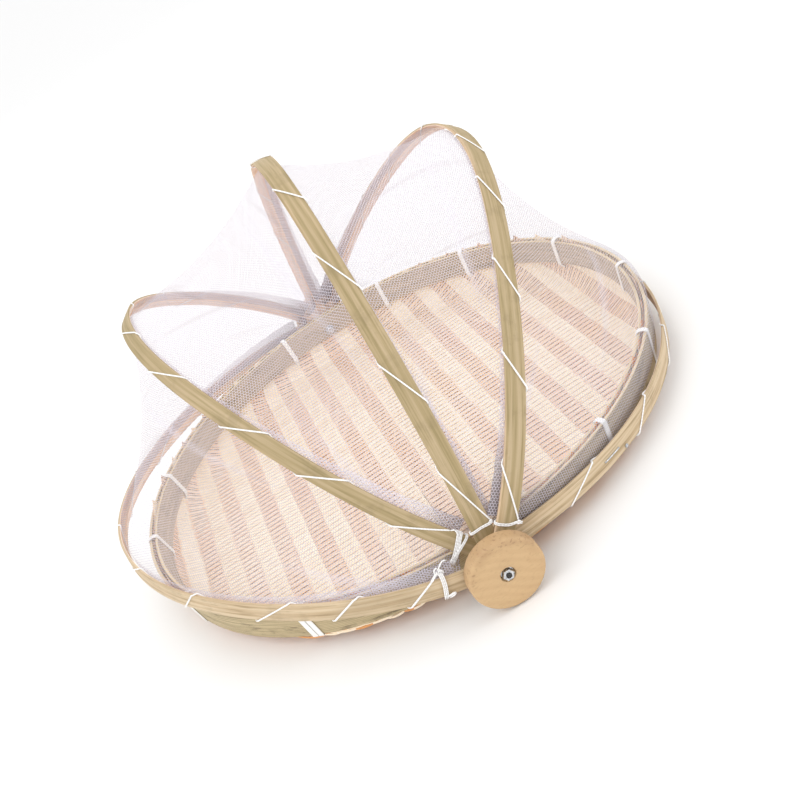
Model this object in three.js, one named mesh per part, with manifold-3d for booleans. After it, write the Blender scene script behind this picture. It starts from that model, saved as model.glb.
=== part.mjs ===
// Round woven food basket with a folding net tent on five bamboo hoops.
// Lengths are in millimetres and angles in degrees. +Z is up, and the hoops turn on an axis along Y.
// The origin is on the surface that the basket stands on, below the middle of its woven mat.

import * as THREE from 'three';
import { mergeVertices } from 'three/addons/utils/BufferGeometryUtils.js';
import Module from 'manifold-3d';

const wasm = await Module();
wasm.setup();

// Basket
const rimInnerRadius = 163.5;
const rimTop = 31;
const bandThickness = 1.8;
const innerBandHeight = 16;
const outerBandHeight = 21.5;
const bandFlareShare = 0.12;
const matThickness = 1.4;
const heelReach = 14;
const matTuck = 3;
const seatGap = 0.3;

// Rim ties: angles from +X towards +Y, and the angle of the two straps side by side
const tieWidth = 3.2;
const tieThickness = 0.6;
const tieSeat = 0.15;
const tieAngles = [20.5, 49.5, 73.5, 102, 127, 152.5, 175.5, 203, 234.5, 299.5, 325, 353.5];
const doubledTieAngle = 234.5;

// Pivots, whose height is counted from the inner band's lower edge
const pivotAboveBand = 5;
const boltRadius = 1.5;
const boltClearance = 0.25;
const boltEndProud = 0.8;
const headRadius = 2.8;
const headHeight = 1.7;
const washerRadius = 3.5;
const washerThickness = 0.5;
const nutAcrossFlats = 5.5;
const nutHeight = 2.3;
const hardwareSeat = 0.15;
const headCrownShare = 0.7;
const discRadius = 19.5;
const discThickness = 9.5;
const discEdgeRadius = 1.8;
const recessRadius = 3.9;
const recessDepth = 2.4;
const discSeat = 0.3;

// Hoops and their lashings
const stripWidth = 10.7;
const leftBowWidth = 9.4;
const stripThickness = 1.6;
const stripEndLap = 8;
const hoopStandOff = 0.4;
const cordDiameter = 0.9;
const cordSeat = 0.15;
const nestClearance = 0.25;
const edgeDipShare = 0.125;
const lashingCrossings = 9;
const crossingPitchAngle = 18.5;
const crossingHalfAngle = 4.2;
const edgeTurnAngle = 0.35;

// How much farther out a hoop's crown is than its ends
const rimCrown = 1.6;
const bowCrown = -2.4;

// Each hoop: its angle at rest, from flat on the left up and over to the right, its place in the stack
// on the bolt counted outwards, its width, its crown, how much its legs are flattened, as a share of
// its radius, and where its lashing first crosses it, as an angle along the hoop from its near end
const hoopTable = {
  fixed_rim_hoop: {
    angle: 182.5, layer: 0, width: stripWidth, crown: rimCrown, flatShare: -0.012, firstCrossingAngle: 17.5,
  },
  bow_left: {
    angle: 54.4, layer: 1, width: leftBowWidth, crown: bowCrown, flatShare: 0.066, firstCrossingAngle: 15,
  },
  bow_top: {
    angle: 94.8, layer: 2, width: stripWidth, crown: bowCrown, flatShare: 0.066, firstCrossingAngle: 15,
  },
  bow_right: {
    angle: 131.1, layer: 3, width: stripWidth, crown: bowCrown, flatShare: 0.066, firstCrossingAngle: 15,
  },
  lift_hoop: {
    angle: 8.7, layer: 4, width: stripWidth, crown: bowCrown, flatShare: 0.042, firstCrossingAngle: 15,
  },
};

// Net
const netThickness = 0.4;
const netGap = 0.15;
const netEdgeGap = 0.3;
const netSag = 8;
const netStartAngle = 7;
const netSpreadAngle = 50;
const netHugPower = 4;

// Small fasteners on the fixed rim hoop: angles along the hoop from its near end
const stapleWire = 0.8;
const stapleStartAngle = 24.9;
const stapleEndAngle = 28.7;
const fastenerClearance = 0.2;
const nailRadius = 0.6;
const nailHeadRadius = 1.2;
const nailHeadHeight = 0.5;
const nailAngle = 30.6;
const nailAcross = 3.6;
const knotRadius = 1.5;
const knotLength = 2.2;
const knotAngle = 9.4;
const knotAcross = 3.6;

// How finely round shapes are cut
const ringSegments = 60;
const hoopSegments = 40;
const holeSegments = 16;
const discSegments = 30;
const heelSteps = 5;
const faceSteps = 4;
const cordSides = 5;
const discEdgeSteps = 3;
const stapleSteps = 3;
const knotSegments = 10;
const knotRows = 6;
const weldDistance = 1e-4;

// Stretches of a cord that are nearer along it than this share of its thickness are neighbours
const neighbourShare = 4;
const netAlong = 22;
const netAcross = 4;

const radians = THREE.MathUtils.degToRad;
const halfTurnAngle = 180;
const thicknessHalf = stripThickness / 2;
const cordRadius = cordDiameter / 2;
const overrun = bandThickness;

const colours = {
  mat: ['#ecdcb9', 0.8, 0],
  band: ['#b9b08e', 0.65, 0],
  hoop: ['#bfae80', 0.55, 0],
  disc: ['#e6c390', 0.6, 0],
  steel: ['#c9ccd0', 0.3, 1],
  strap: ['#f4f4f2', 0.5, 0],
  cord: ['#f7f7f5', 0.8, 0],
  net: ['#f2f0f6', 0.9, 0],
};

const model = new THREE.Group();

function addMesh(parent, name, geometry, finish) {
  const [color, roughness, metalness] = colours[finish];
  const material = new THREE.MeshStandardMaterial({ color, roughness, metalness });
  const mesh = new THREE.Mesh(welded(geometry), material);
  mesh.name = name;
  parent.add(mesh);
  return mesh;
}

// Closed meshes and solids

function closedGeometry(points, faces) {
  const geometry = new THREE.BufferGeometry();
  const numbers = points.flatMap((p) => [p.x, p.y, p.z]);
  geometry.setAttribute('position', new THREE.Float32BufferAttribute(numbers, 3));
  geometry.setIndex(faces.flat());
  return geometry;
}

// One welded surface without empty faces, turned so that it faces outwards
function welded(geometry) {
  const bare = geometry.clone();
  bare.deleteAttribute('normal');
  bare.deleteAttribute('uv');
  const merged = mergeVertices(bare, weldDistance);
  const places = merged.attributes.position;
  const corner = [0, 1, 2].map(() => new THREE.Vector3());
  const kept = [];
  let volume = 0;
  for (let i = 0; i < merged.index.count; i += 3) {
    const face = [0, 1, 2].map((k) => merged.index.getX(i + k));
    if (new Set(face).size === 3) {
      face.forEach((index, k) => corner[k].fromBufferAttribute(places, index));
      volume += corner[0].dot(corner[1].clone().cross(corner[2]));
      kept.push(face);
    }
  }
  merged.setIndex(kept.flatMap((face) => (volume < 0 ? face.reverse() : face)));
  return merged;
}

function toSolid(geometry) {
  const merged = welded(geometry);
  const mesh = new wasm.Mesh({
    numProp: 3,
    vertProperties: new Float32Array(merged.attributes.position.array),
    triVerts: new Uint32Array(merged.index.array),
  });
  return new wasm.Manifold(mesh);
}

function toGeometry(solid) {
  const mesh = solid.getMesh();
  const geometry = new THREE.BufferGeometry();
  geometry.setAttribute('position', new THREE.Float32BufferAttribute(mesh.vertProperties, 3));
  geometry.setIndex([...mesh.triVerts]);
  return geometry;
}

function cut(geometry, tools) {
  let solid = toSolid(geometry);
  for (const tool of tools) {
    solid = solid.subtract(toSolid(tool));
  }
  return toGeometry(solid);
}

// A ring or a dish, turned about Z from a closed outline of [radius, height] points
function turned(outline, segments = ringSegments) {
  const points = [...outline, outline[0]].map(([r, z]) => new THREE.Vector2(r, z));
  const geometry = new THREE.LatheGeometry(points, segments);
  geometry.rotateX(Math.PI / 2);
  return geometry;
}

function cylinderAlongY(radius, from, to, segments = holeSegments) {
  const geometry = new THREE.CylinderGeometry(radius, radius, Math.abs(to - from), segments);
  geometry.translate(0, (from + to) / 2, 0);
  return geometry;
}

// A flat outline in a hoop's plane, made a plate of the given width about that plane
function plate(outline, width) {
  const shape = new THREE.Shape(outline.map(([x, y]) => new THREE.Vector2(x, y)));
  const geometry = new THREE.ExtrudeGeometry(shape, { depth: width, bevelEnabled: false });
  geometry.translate(0, 0, -width / 2);
  return geometry;
}

// An unbroken round cord through the given points, with closed ends
function cordThrough(points, radius, sides) {
  const rings = [];
  let side = null;
  points.forEach((point, i) => {
    const before = points[Math.max(i - 1, 0)];
    const after = points[Math.min(i + 1, points.length - 1)];
    const along = after.clone().sub(before).normalize();
    const guess = side ?? new THREE.Vector3(0, 1, 0);
    side = guess.clone().addScaledVector(along, -guess.dot(along)).normalize();
    const other = along.clone().cross(side);
    for (let k = 0; k < sides; k += 1) {
      const turn = (2 * Math.PI * k) / sides;
      rings.push(point.clone()
        .addScaledVector(side, radius * Math.cos(turn))
        .addScaledVector(other, radius * Math.sin(turn)));
    }
  });
  const faces = [];
  for (let i = 0; i < points.length - 1; i += 1) {
    for (let k = 0; k < sides; k += 1) {
      const a = i * sides + k;
      const b = i * sides + ((k + 1) % sides);
      faces.push([a, b, b + sides], [a, b + sides, a + sides]);
    }
  }
  const last = (points.length - 1) * sides;
  for (let k = 1; k < sides - 1; k += 1) {
    faces.push([0, k + 1, k], [last, last + k, last + k + 1]);
  }
  return closedGeometry(rings, faces);
}

// Basket: the sizes of the rim, from inside to outside
const footRadius = rimInnerRadius - heelReach;
const innerFace = (z) => rimInnerRadius - bandFlareShare * (rimTop - z);
const innerBandOut = (z) => innerFace(z) + bandThickness;
const matIn = (z) => innerBandOut(z) + seatGap;
const matOut = (z) => matIn(z) + matThickness;
const outerBandIn = (z) => matOut(z) + seatGap;
const outerFace = (z) => outerBandIn(z) + bandThickness;
const innerBandBottom = rimTop - innerBandHeight;
const pivotHeight = innerBandBottom + pivotAboveBand;
const outerBandBottom = rimTop - outerBandHeight;
const matEdge = rimTop - matTuck;

function bandGeometry(bottom, inside, outside) {
  return turned([
    [inside(bottom), bottom],
    [outside(bottom), bottom],
    [outside(rimTop), rimTop],
    [inside(rimTop), rimTop],
  ]);
}

// The heel where the mat turns up into the rim, as a quarter of an ellipse
function heel(radius, floor, steps) {
  const points = [];
  for (let i = 0; i <= steps; i += 1) {
    const turn = (Math.PI / 2) * (i / steps);
    points.push([
      footRadius + (radius - footRadius) * Math.sin(turn),
      innerBandBottom - (innerBandBottom - floor) * Math.cos(turn),
    ]);
  }
  return points;
}

function matGeometry() {
  const under = [
    [0, 0],
    ...heel(matOut(innerBandBottom), 0, heelSteps),
    [matOut(matEdge), matEdge],
  ];
  const over = [
    [0, matThickness],
    ...heel(matIn(innerBandBottom), matThickness, heelSteps),
    [matIn(matEdge), matEdge],
  ];
  const points = [...under, ...over.reverse()].map(([r, z]) => new THREE.Vector2(r, z));
  const geometry = new THREE.LatheGeometry(points, ringSegments);
  geometry.rotateX(Math.PI / 2);
  return geometry;
}

function pivotHoles() {
  return [-1, 1].map((way) => {
    const hole = cylinderAlongY(
      boltRadius + boltClearance,
      way * (innerFace(pivotHeight) - overrun),
      way * (outerFace(rimTop) + overrun),
    );
    hole.translate(0, 0, pivotHeight);
    return hole;
  });
}

// Rim ties: a flat strap round both bands, through a slit in the mat
// (the middle of a ring's flat facets lies a little nearer to the axis than its corners)
const facetShare = Math.cos(Math.PI / ringSegments);
const rimSection = [
  [innerFace(innerBandBottom) * facetShare, innerBandBottom],
  [innerFace(rimTop) * facetShare, rimTop],
  [outerFace(rimTop), rimTop],
  [outerFace(outerBandBottom), outerBandBottom],
  [outerBandIn(outerBandBottom) * facetShare, outerBandBottom],
];

// The same outline with each side moved outwards by a distance; its corners run clockwise
function grown(corners, distance) {
  const sides = corners.map(([x, y], i) => {
    const [nextX, nextY] = corners[(i + 1) % corners.length];
    const length = Math.hypot(nextX - x, nextY - y);
    const outX = -(nextY - y) / length;
    const outY = (nextX - x) / length;
    return [outX, outY, outX * x + outY * y + distance];
  });
  return corners.map((_, i) => {
    const [a, b, p] = sides[(i + corners.length - 1) % corners.length];
    const [c, d, q] = sides[i];
    const across = a * d - b * c;
    return [(p * d - b * q) / across, (a * q - p * c) / across];
  });
}

const tieCorners = grown(rimSection, tieSeat);
const tieOuterCorners = grown(rimSection, tieSeat + tieThickness);

function tieSlit(angle, across) {
  const [inR, inZ] = tieCorners[0];
  const [outR, outZ] = tieCorners[tieCorners.length - 1];
  const slope = Math.atan2(outZ - inZ, outR - inR);
  const length = Math.hypot(outR - inR, outZ - inZ);
  const slit = new THREE.BoxGeometry(length, tieWidth + 2 * seatGap, tieThickness + 2 * seatGap);
  slit.translate(0, 0, -tieThickness / 2);
  slit.rotateY(-slope);
  slit.translate((inR + outR) / 2, across, (inZ + outZ) / 2);
  slit.rotateZ(radians(angle));
  return slit;
}

function tieStraps() {
  const straps = [];
  tieAngles.forEach((angle, i) => {
    const count = angle === doubledTieAngle ? 2 : 1;
    for (let k = 0; k < count; k += 1) {
      const across = (k - (count - 1) / 2) * (tieWidth + 2 * seatGap + tieSeat);
      const suffix = count > 1 ? ['_a', '_b'][k] : '';
      straps.push({ angle, across, name: `rim_tie_${String(i + 1).padStart(2, '0')}${suffix}` });
    }
  });
  return straps;
}

// Hoops: points in a hoop's own frame, with X away from the pivot axis in the hoop's plane, Y along
// the axis from near to far, and Z across the strip towards the left when the hoop stands up
const nestStep = stripThickness + cordDiameter + cordSeat + nestClearance;
const firstSeat = outerFace(rimTop) + hoopStandOff;

function hoopRadius(hoop, along) {
  const turn = radians(along);
  const legs = firstSeat * hoop.flatShare * Math.sin(2 * turn) ** 2;
  return firstSeat + hoop.layer * nestStep - legs + hoop.crown * Math.sin(turn) ** 2;
}

function onHoop(hoop, along, outwards, across = 0) {
  const radius = hoopRadius(hoop, along) + outwards;
  const turn = radians(along);
  return new THREE.Vector3(radius * Math.sin(turn), -radius * Math.cos(turn), -across);
}

function hoopOutline(hoop, outwards) {
  const points = [];
  for (let i = 0; i <= hoopSegments; i += 1) {
    const p = onHoop(hoop, (halfTurnAngle * i) / hoopSegments, outwards);
    points.push([p.x, p.y]);
  }
  const [, nearY] = points[0];
  const [, farY] = points[points.length - 1];
  return [[-stripEndLap, nearY], ...points, [-stripEndLap, farY]];
}

function stripGeometry(hoop, extraCuts = []) {
  const outline = [...hoopOutline(hoop, stripThickness), ...hoopOutline(hoop, 0).reverse()];
  const seat = firstSeat + hoop.layer * nestStep;
  const holes = [-1, 1].map((way) => cylinderAlongY(
    boltRadius + boltClearance,
    way * (seat - overrun),
    way * (seat + stripThickness + overrun),
  ));
  return cut(plate(outline, hoop.width), [...holes, ...extraCuts]);
}

// The lashing crosses the outer face aslant, turns round the edge and comes back inside, again and again
function lashingPath(hoop) {
  const off = cordSeat + cordRadius;
  const outer = stripThickness + off;
  const inner = -off;
  const stripHalf = hoop.width / 2;
  const edge = stripHalf + off;
  const turnIn = stripHalf + cordSeat + cordSeat / 2;
  const dip = 2 * cordSeat + edgeDipShare * stripThickness;
  const points = [];
  const face = (from, to, fromAcross, toAcross, level) => {
    for (let k = 0; k <= faceSteps; k += 1) {
      const share = k / faceSteps;
      points.push(onHoop(
        hoop,
        THREE.MathUtils.lerp(from, to, share),
        level,
        THREE.MathUtils.lerp(fromAcross, toAcross, share),
      ));
    }
  };
  for (let i = 0; i < lashingCrossings; i += 1) {
    const middle = hoop.firstCrossingAngle + i * crossingPitchAngle;
    const start = middle - crossingHalfAngle;
    const end = middle + crossingHalfAngle;
    const next = start + crossingPitchAngle;
    face(start, end, turnIn, -turnIn, outer);
    if (i === lashingCrossings - 1) {
      break;
    }
    points.push(onHoop(hoop, end + edgeTurnAngle, outer - dip, -edge));
    points.push(onHoop(hoop, end + 2 * edgeTurnAngle, inner + dip, -edge));
    face(end + 3 * edgeTurnAngle, next - 3 * edgeTurnAngle, -turnIn, turnIn, inner);
    points.push(onHoop(hoop, next - 2 * edgeTurnAngle, inner + dip, edge));
    points.push(onHoop(hoop, next - edgeTurnAngle, outer - dip, edge));
  }
  return points;
}

// The least clear distance between stretches of a cord that aren't neighbours along it
function leastSelfGap(points) {
  const lengths = [0];
  for (let i = 1; i < points.length; i += 1) {
    lengths.push(lengths[i - 1] + points[i].distanceTo(points[i - 1]));
  }
  let least = Infinity;
  points.forEach((point, i) => {
    for (let j = i + 1; j < points.length - 1; j += 1) {
      if (lengths[j] - lengths[i] > neighbourShare * cordDiameter) {
        const line = new THREE.Line3(points[j], points[j + 1]);
        const nearest = line.closestPointToPoint(point, true, new THREE.Vector3());
        least = Math.min(least, nearest.distanceTo(point) - cordDiameter);
      }
    }
  });
  return least;
}

// The staple and the nail that hold the fixed rim hoop to the outer band
function bandFace(hoop, along) {
  const p = onHoop(hoop, along, 0);
  return outerFace(pivotHeight) - Math.hypot(p.x, p.y);
}

function stapleParts(hoop) {
  const wireHalf = stapleWire / 2;
  const depth = (along) => bandFace(hoop, along) - bandThickness + seatGap;
  const leg = (along, half, deep) => {
    const turn = radians(along);
    const low = depth(along) - deep;
    const high = stripThickness + cordSeat + stapleWire;
    const box = new THREE.BoxGeometry(high - low, 2 * half, 2 * half);
    const radius = hoopRadius(hoop, along) + (high + low) / 2;
    box.rotateZ(turn - Math.PI / 2);
    box.translate(radius * Math.sin(turn), -radius * Math.cos(turn), 0);
    return box;
  };
  const crown = [];
  const under = [];
  for (let i = 0; i <= stapleSteps; i += 1) {
    const along = THREE.MathUtils.lerp(stapleStartAngle, stapleEndAngle, i / stapleSteps);
    const top = onHoop(hoop, along, stripThickness + cordSeat + stapleWire);
    const low = onHoop(hoop, along, stripThickness + cordSeat);
    crown.push([top.x, top.y]);
    under.push([low.x, low.y]);
  }
  const bridge = plate([...crown, ...under.reverse()], stapleWire);
  const ends = [stapleStartAngle, stapleEndAngle];
  const legs = ends.map((along) => leg(along, wireHalf, 0));
  const slots = ends.map((along) => leg(along, wireHalf + fastenerClearance, bandThickness));
  const solid = legs.reduce((body, one) => body.add(toSolid(one)), toSolid(bridge));
  return { solid: toGeometry(solid), slots };
}

function nailParts(hoop) {
  const low = bandFace(hoop, nailAngle) - bandThickness + seatGap;
  const pin = (radius, from, to, segments) => {
    const turn = radians(nailAngle);
    const geometry = new THREE.CylinderGeometry(radius, radius, to - from, segments);
    geometry.rotateZ(-Math.PI / 2);
    geometry.translate(hoopRadius(hoop, nailAngle) + (from + to) / 2, 0, -nailAcross);
    geometry.rotateZ(turn - Math.PI / 2);
    return geometry;
  };
  const headSeat = stripThickness + cordSeat;
  const shank = pin(nailRadius, low, headSeat + nailHeadHeight / 2, holeSegments / 2);
  const head = pin(nailHeadRadius, headSeat, headSeat + nailHeadHeight, holeSegments / 2);
  const hole = pin(nailRadius + fastenerClearance, low - bandThickness, headSeat, holeSegments / 2);
  return { solid: toGeometry(toSolid(shank).add(toSolid(head))), slots: [hole] };
}

// Net panels: thin sheets between the inner sides of two neighbouring hoops
const netInset = cordSeat + cordDiameter + netGap + netThickness / 2;

function inWorld(point, angle) {
  const turned = point.clone().applyAxisAngle(new THREE.Vector3(0, 1, 0), Math.PI + radians(angle));
  turned.z += pivotHeight;
  return turned;
}

function netOnHoop(hoop, along, side) {
  return inWorld(onHoop(hoop, along, -netInset, side * netEdgeGap), hoop.angle);
}

function netOnRim(along) {
  const radius = outerFace(rimTop) + tieSeat + tieThickness + netEdgeGap + netThickness;
  const turn = radians(along);
  const height = rimTop + tieSeat + tieThickness + netEdgeGap + netThickness;
  return new THREE.Vector3(radius * Math.sin(turn), -radius * Math.cos(turn), height);
}

// Near the pivots a panel keeps to the inner one of its two edges, so that it passes inside that hoop
function netPoint(startOf, endOf, along, share) {
  const start = startOf(along);
  const end = endOf(along);
  const point = start.clone().lerp(end, share);
  const spread = THREE.MathUtils.smoothstep(Math.sin(radians(along)), 0, Math.sin(radians(netSpreadAngle)));
  const power = THREE.MathUtils.lerp(netHugPower, 1, spread);
  const hug = Math.abs(start.y) < Math.abs(end.y) ? share ** power : 1 - (1 - share) ** power;
  point.y = THREE.MathUtils.lerp(start.y, end.y, hug);
  const inwards = new THREE.Vector3(-point.x, 0, pivotHeight - point.z).normalize();
  const sag = netSag * Math.sin(radians(along)) * 4 * share * (1 - share);
  return point.addScaledVector(inwards, sag);
}

function netGeometry(startOf, endOf) {
  const at = (i, j) => netPoint(
    startOf,
    endOf,
    THREE.MathUtils.lerp(netStartAngle, halfTurnAngle - netStartAngle, i / netAlong),
    j / netAcross,
  );
  const sides = [[], []];
  for (let i = 0; i <= netAlong; i += 1) {
    for (let j = 0; j <= netAcross; j += 1) {
      const alongWay = at(Math.min(i + 1, netAlong), j).sub(at(Math.max(i - 1, 0), j));
      const acrossWay = at(i, Math.min(j + 1, netAcross)).sub(at(i, Math.max(j - 1, 0)));
      const out = acrossWay.cross(alongWay).normalize().multiplyScalar(netThickness / 2);
      sides[0].push(at(i, j).add(out));
      sides[1].push(at(i, j).sub(out));
    }
  }
  const row = netAcross + 1;
  const layer = sides[0].length;
  const faces = [];
  const quad = (a, b, c, d) => faces.push([a, b, c], [a, c, d]);
  for (let i = 0; i < netAlong; i += 1) {
    for (let j = 0; j < netAcross; j += 1) {
      const a = i * row + j;
      quad(a, a + 1, a + 1 + row, a + row);
      quad(a + layer, a + row + layer, a + 1 + row + layer, a + 1 + layer);
    }
    const left = i * row;
    const right = left + netAcross;
    quad(left, left + row, left + row + layer, left + layer);
    quad(right, right + layer, right + row + layer, right + row);
  }
  for (let j = 0; j < netAcross; j += 1) {
    const far = netAlong * row + j;
    quad(j, j + layer, j + 1 + layer, j + 1);
    quad(far, far + 1, far + 1 + layer, far + layer);
  }
  return closedGeometry(sides.flat(), faces);
}

// Woven mat and rim bands
const straps = tieStraps();
const slits = straps.map(({ angle, across }) => tieSlit(angle, across));
const fixedHoop = hoopTable.fixed_rim_hoop;
const staple = stapleParts(fixedHoop);
const nail = nailParts(fixedHoop);
const toBasket = (geometry) => {
  const moved = geometry.clone();
  moved.rotateY(Math.PI + radians(fixedHoop.angle));
  moved.translate(0, 0, pivotHeight);
  return moved;
};
const bandSlots = [...staple.slots, ...nail.slots].map(toBasket);

addMesh(model, 'woven_mat', cut(matGeometry(), [...pivotHoles(), ...slits]), 'mat');
addMesh(
  model,
  'inner_rim_band',
  cut(bandGeometry(innerBandBottom, innerFace, innerBandOut), pivotHoles()),
  'band',
);
addMesh(
  model,
  'outer_rim_band',
  cut(bandGeometry(outerBandBottom, outerBandIn, outerFace), [...pivotHoles(), ...bandSlots]),
  'band',
);

// Rim ties
for (const { angle, across, name } of straps) {
  const turn = new THREE.Group();
  turn.rotation.z = radians(angle);
  model.add(turn);
  const loop = cut(plate(tieOuterCorners, tieWidth), [plate(tieCorners, tieWidth + 2 * tieThickness)]);
  const strap = addMesh(turn, name, loop, 'strap');
  strap.rotation.x = Math.PI / 2;
  strap.position.y = across;
}

// Hoops with their lashings
for (const [name, hoop] of Object.entries(hoopTable)) {
  const turn = new THREE.Group();
  turn.rotation.y = Math.PI + radians(hoop.angle);
  turn.position.z = pivotHeight;
  model.add(turn);
  const slots = hoop === fixedHoop ? [...staple.slots, ...nail.slots] : [];
  addMesh(turn, name, stripGeometry(hoop, slots), 'hoop');
  const path = lashingPath(hoop);
  addMesh(turn, `${name}_lashing`, cordThrough(path, cordRadius, cordSides), 'cord');
  console.log(`${name}_lashing: least gap to itself ${leastSelfGap(path).toFixed(2)} mm`);
  if (hoop === fixedHoop) {
    addMesh(turn, 'rim_staple', staple.solid, 'steel');
    addMesh(turn, 'rim_nail', nail.solid, 'steel');
  }
  if (name === 'lift_hoop') {
    const knot = new THREE.SphereGeometry(knotRadius, knotSegments, knotRows);
    knot.scale(knotLength / knotRadius, 1, 1);
    knot.rotateZ(radians(knotAngle));
    const place = onHoop(hoop, knotAngle, stripThickness + seatGap + knotRadius, knotAcross);
    addMesh(turn, 'lift_hoop_knot', knot, 'cord').position.copy(place);
  }
}

// Pivots: a bolt from inside the rim through the bands, the stacked hoop ends and a wooden disc
const stackOuter = firstSeat + (Object.keys(hoopTable).length - 1) * nestStep + stripThickness;
const discInner = stackOuter + discSeat;
const discOuter = discInner + discThickness;
const washerOuter = innerFace(pivotHeight - washerRadius) * facetShare - seatGap;
const recessFloor = discOuter - recessDepth;

function discGeometry() {
  const hole = boltRadius + boltClearance;
  const edge = discRadius - discEdgeRadius;
  const rounding = (centre, from) => Array.from({ length: discEdgeSteps + 1 }, (_, k) => {
    const turn = from + (Math.PI / 2) * (k / discEdgeSteps);
    return [edge + discEdgeRadius * Math.cos(turn), centre + discEdgeRadius * Math.sin(turn)];
  });
  return turned([
    [hole, 0],
    ...rounding(discEdgeRadius, -Math.PI / 2),
    ...rounding(discThickness - discEdgeRadius, 0),
    [recessRadius, discThickness],
    [recessRadius, discThickness - recessDepth],
    [hole, discThickness - recessDepth],
  ], discSegments);
}

function washerGeometry(radius) {
  const hole = boltRadius + boltClearance;
  return turned([[hole, 0], [radius, 0], [radius, washerThickness], [hole, washerThickness]], holeSegments);
}

function nutGeometry() {
  const corner = nutAcrossFlats / 2 / Math.cos(Math.PI / 6);
  const nut = new THREE.CylinderGeometry(corner, corner, nutHeight, 6);
  const bore = boltRadius + boltClearance / 2;
  return cut(nut, [new THREE.CylinderGeometry(bore, bore, nutHeight + overrun, holeSegments)]);
}

// The outer washer lies in the disc's recess and the nut stands on it
const nutWasherBase = recessFloor + hardwareSeat;
const nutBase = nutWasherBase + washerThickness + hardwareSeat;
const boltEnd = nutBase + nutHeight + boltEndProud;

function boltGeometry() {
  const headBase = washerOuter - washerThickness - hardwareSeat;
  const crown = headCrownShare * headRadius;
  const points = [
    [0, headBase - headHeight],
    [crown, headBase - headHeight],
    [headRadius, headBase - headHeight / 2],
    [headRadius, headBase],
    [boltRadius, headBase],
    [boltRadius, boltEnd],
    [0, boltEnd],
  ];
  return new THREE.LatheGeometry(points.map(([r, y]) => new THREE.Vector2(r, y)), holeSegments);
}

for (const [place, way] of [['near', -1], ['far', 1]]) {
  const pivot = new THREE.Group();
  pivot.position.z = pivotHeight;
  pivot.rotation.z = way > 0 ? 0 : Math.PI;
  model.add(pivot);
  addMesh(pivot, `${place}_bolt`, boltGeometry(), 'steel');
  const inner = addMesh(pivot, `${place}_bolt_washer`, washerGeometry(washerRadius), 'steel');
  inner.rotation.x = -Math.PI / 2;
  inner.position.y = washerOuter - washerThickness;
  const disc = addMesh(pivot, `${place}_wooden_disc`, discGeometry(), 'disc');
  disc.rotation.x = -Math.PI / 2;
  disc.position.y = discInner;
  const outer = addMesh(pivot, `${place}_nut_washer`, washerGeometry(washerRadius), 'steel');
  outer.rotation.x = -Math.PI / 2;
  outer.position.y = nutWasherBase;
  const nut = addMesh(pivot, `${place}_nut`, nutGeometry(), 'steel');
  nut.position.y = nutBase + nutHeight / 2;
}

// Net tent, one panel between each two neighbouring hoops
const between = (first, second) => netGeometry(
  (along) => netOnHoop(hoopTable[first], along, 1),
  (along) => netOnHoop(hoopTable[second], along, -1),
);
addMesh(model, 'net_left', between('lift_hoop', 'bow_left'), 'net');
addMesh(model, 'net_top_left', between('bow_left', 'bow_top'), 'net');
addMesh(model, 'net_top_right', between('bow_top', 'bow_right'), 'net');
addMesh(
  model,
  'net_right',
  netGeometry((along) => netOnHoop(hoopTable.bow_right, along, 1), netOnRim),
  'net',
);

export default model;
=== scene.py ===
"""Woven bamboo food basket with a folding net tent, dressed around its packed solids.

Sizes are in millimetres inside the classes and become metres when a mesh is made. The hoops turn on
the pivot line, which runs along Y at the height of the bolts.
"""

import logging
import math
from dataclasses import dataclass
from enum import Enum
from typing import Callable, Iterable, Sequence

import bmesh
import bpy
import numpy as np
from mathutils import Matrix, Vector


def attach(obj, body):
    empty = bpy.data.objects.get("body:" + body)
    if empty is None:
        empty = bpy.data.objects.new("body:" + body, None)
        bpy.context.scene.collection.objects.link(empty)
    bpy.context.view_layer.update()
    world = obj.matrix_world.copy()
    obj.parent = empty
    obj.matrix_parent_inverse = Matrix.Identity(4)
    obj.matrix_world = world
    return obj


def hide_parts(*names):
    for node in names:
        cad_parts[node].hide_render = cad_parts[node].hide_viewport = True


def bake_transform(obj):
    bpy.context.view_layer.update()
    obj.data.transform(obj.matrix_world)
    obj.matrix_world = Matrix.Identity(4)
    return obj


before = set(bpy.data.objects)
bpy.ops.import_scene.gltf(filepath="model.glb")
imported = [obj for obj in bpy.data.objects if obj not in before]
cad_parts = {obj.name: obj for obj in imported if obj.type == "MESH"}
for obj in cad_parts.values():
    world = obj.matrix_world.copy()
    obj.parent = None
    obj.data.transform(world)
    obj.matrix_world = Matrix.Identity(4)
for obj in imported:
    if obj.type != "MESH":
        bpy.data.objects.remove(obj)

LOG = logging.getLogger("food_tent")
MM = 0.001
SEAT = 0.15  # mm left between pieces that rest on each other
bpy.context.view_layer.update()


class Side(Enum):
    """The faces of a split bamboo strip, in the order of its material slots."""

    SKIN = 0
    FLESH = 1


def srgb(code: str) -> tuple[float, float, float, float]:
    """Turns a six-digit colour code into the linear colour that a shader takes."""
    parts = [int(code[i:i + 2], 16) / 255 for i in (0, 2, 4)]
    linear = [c / 12.92 if c <= 0.04045 else ((c + 0.055) / 1.055) ** 2.4 for c in parts]
    return (linear[0], linear[1], linear[2], 1.0)


# Node trees

def operator(operation: str, says: str, reflected: bool = False) -> Callable[..., "Value"]:
    """Makes a method of Value that adds a Math node.

    Args:
        operation: The node's operation.
        says: The method's docstring.
        reflected: Whether the other number comes first.

    Returns:
        The method, which takes the other number where the operation has one.
    """
    def method(self: "Value", *others: "Value | float") -> "Value":
        """Adds the node and gives its result."""
        numbers = (*others, self) if reflected else (self, *others)
        return self.book.add("ShaderNodeMath", dict(enumerate(numbers)), operation=operation)

    method.__doc__ = says
    return method


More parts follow.
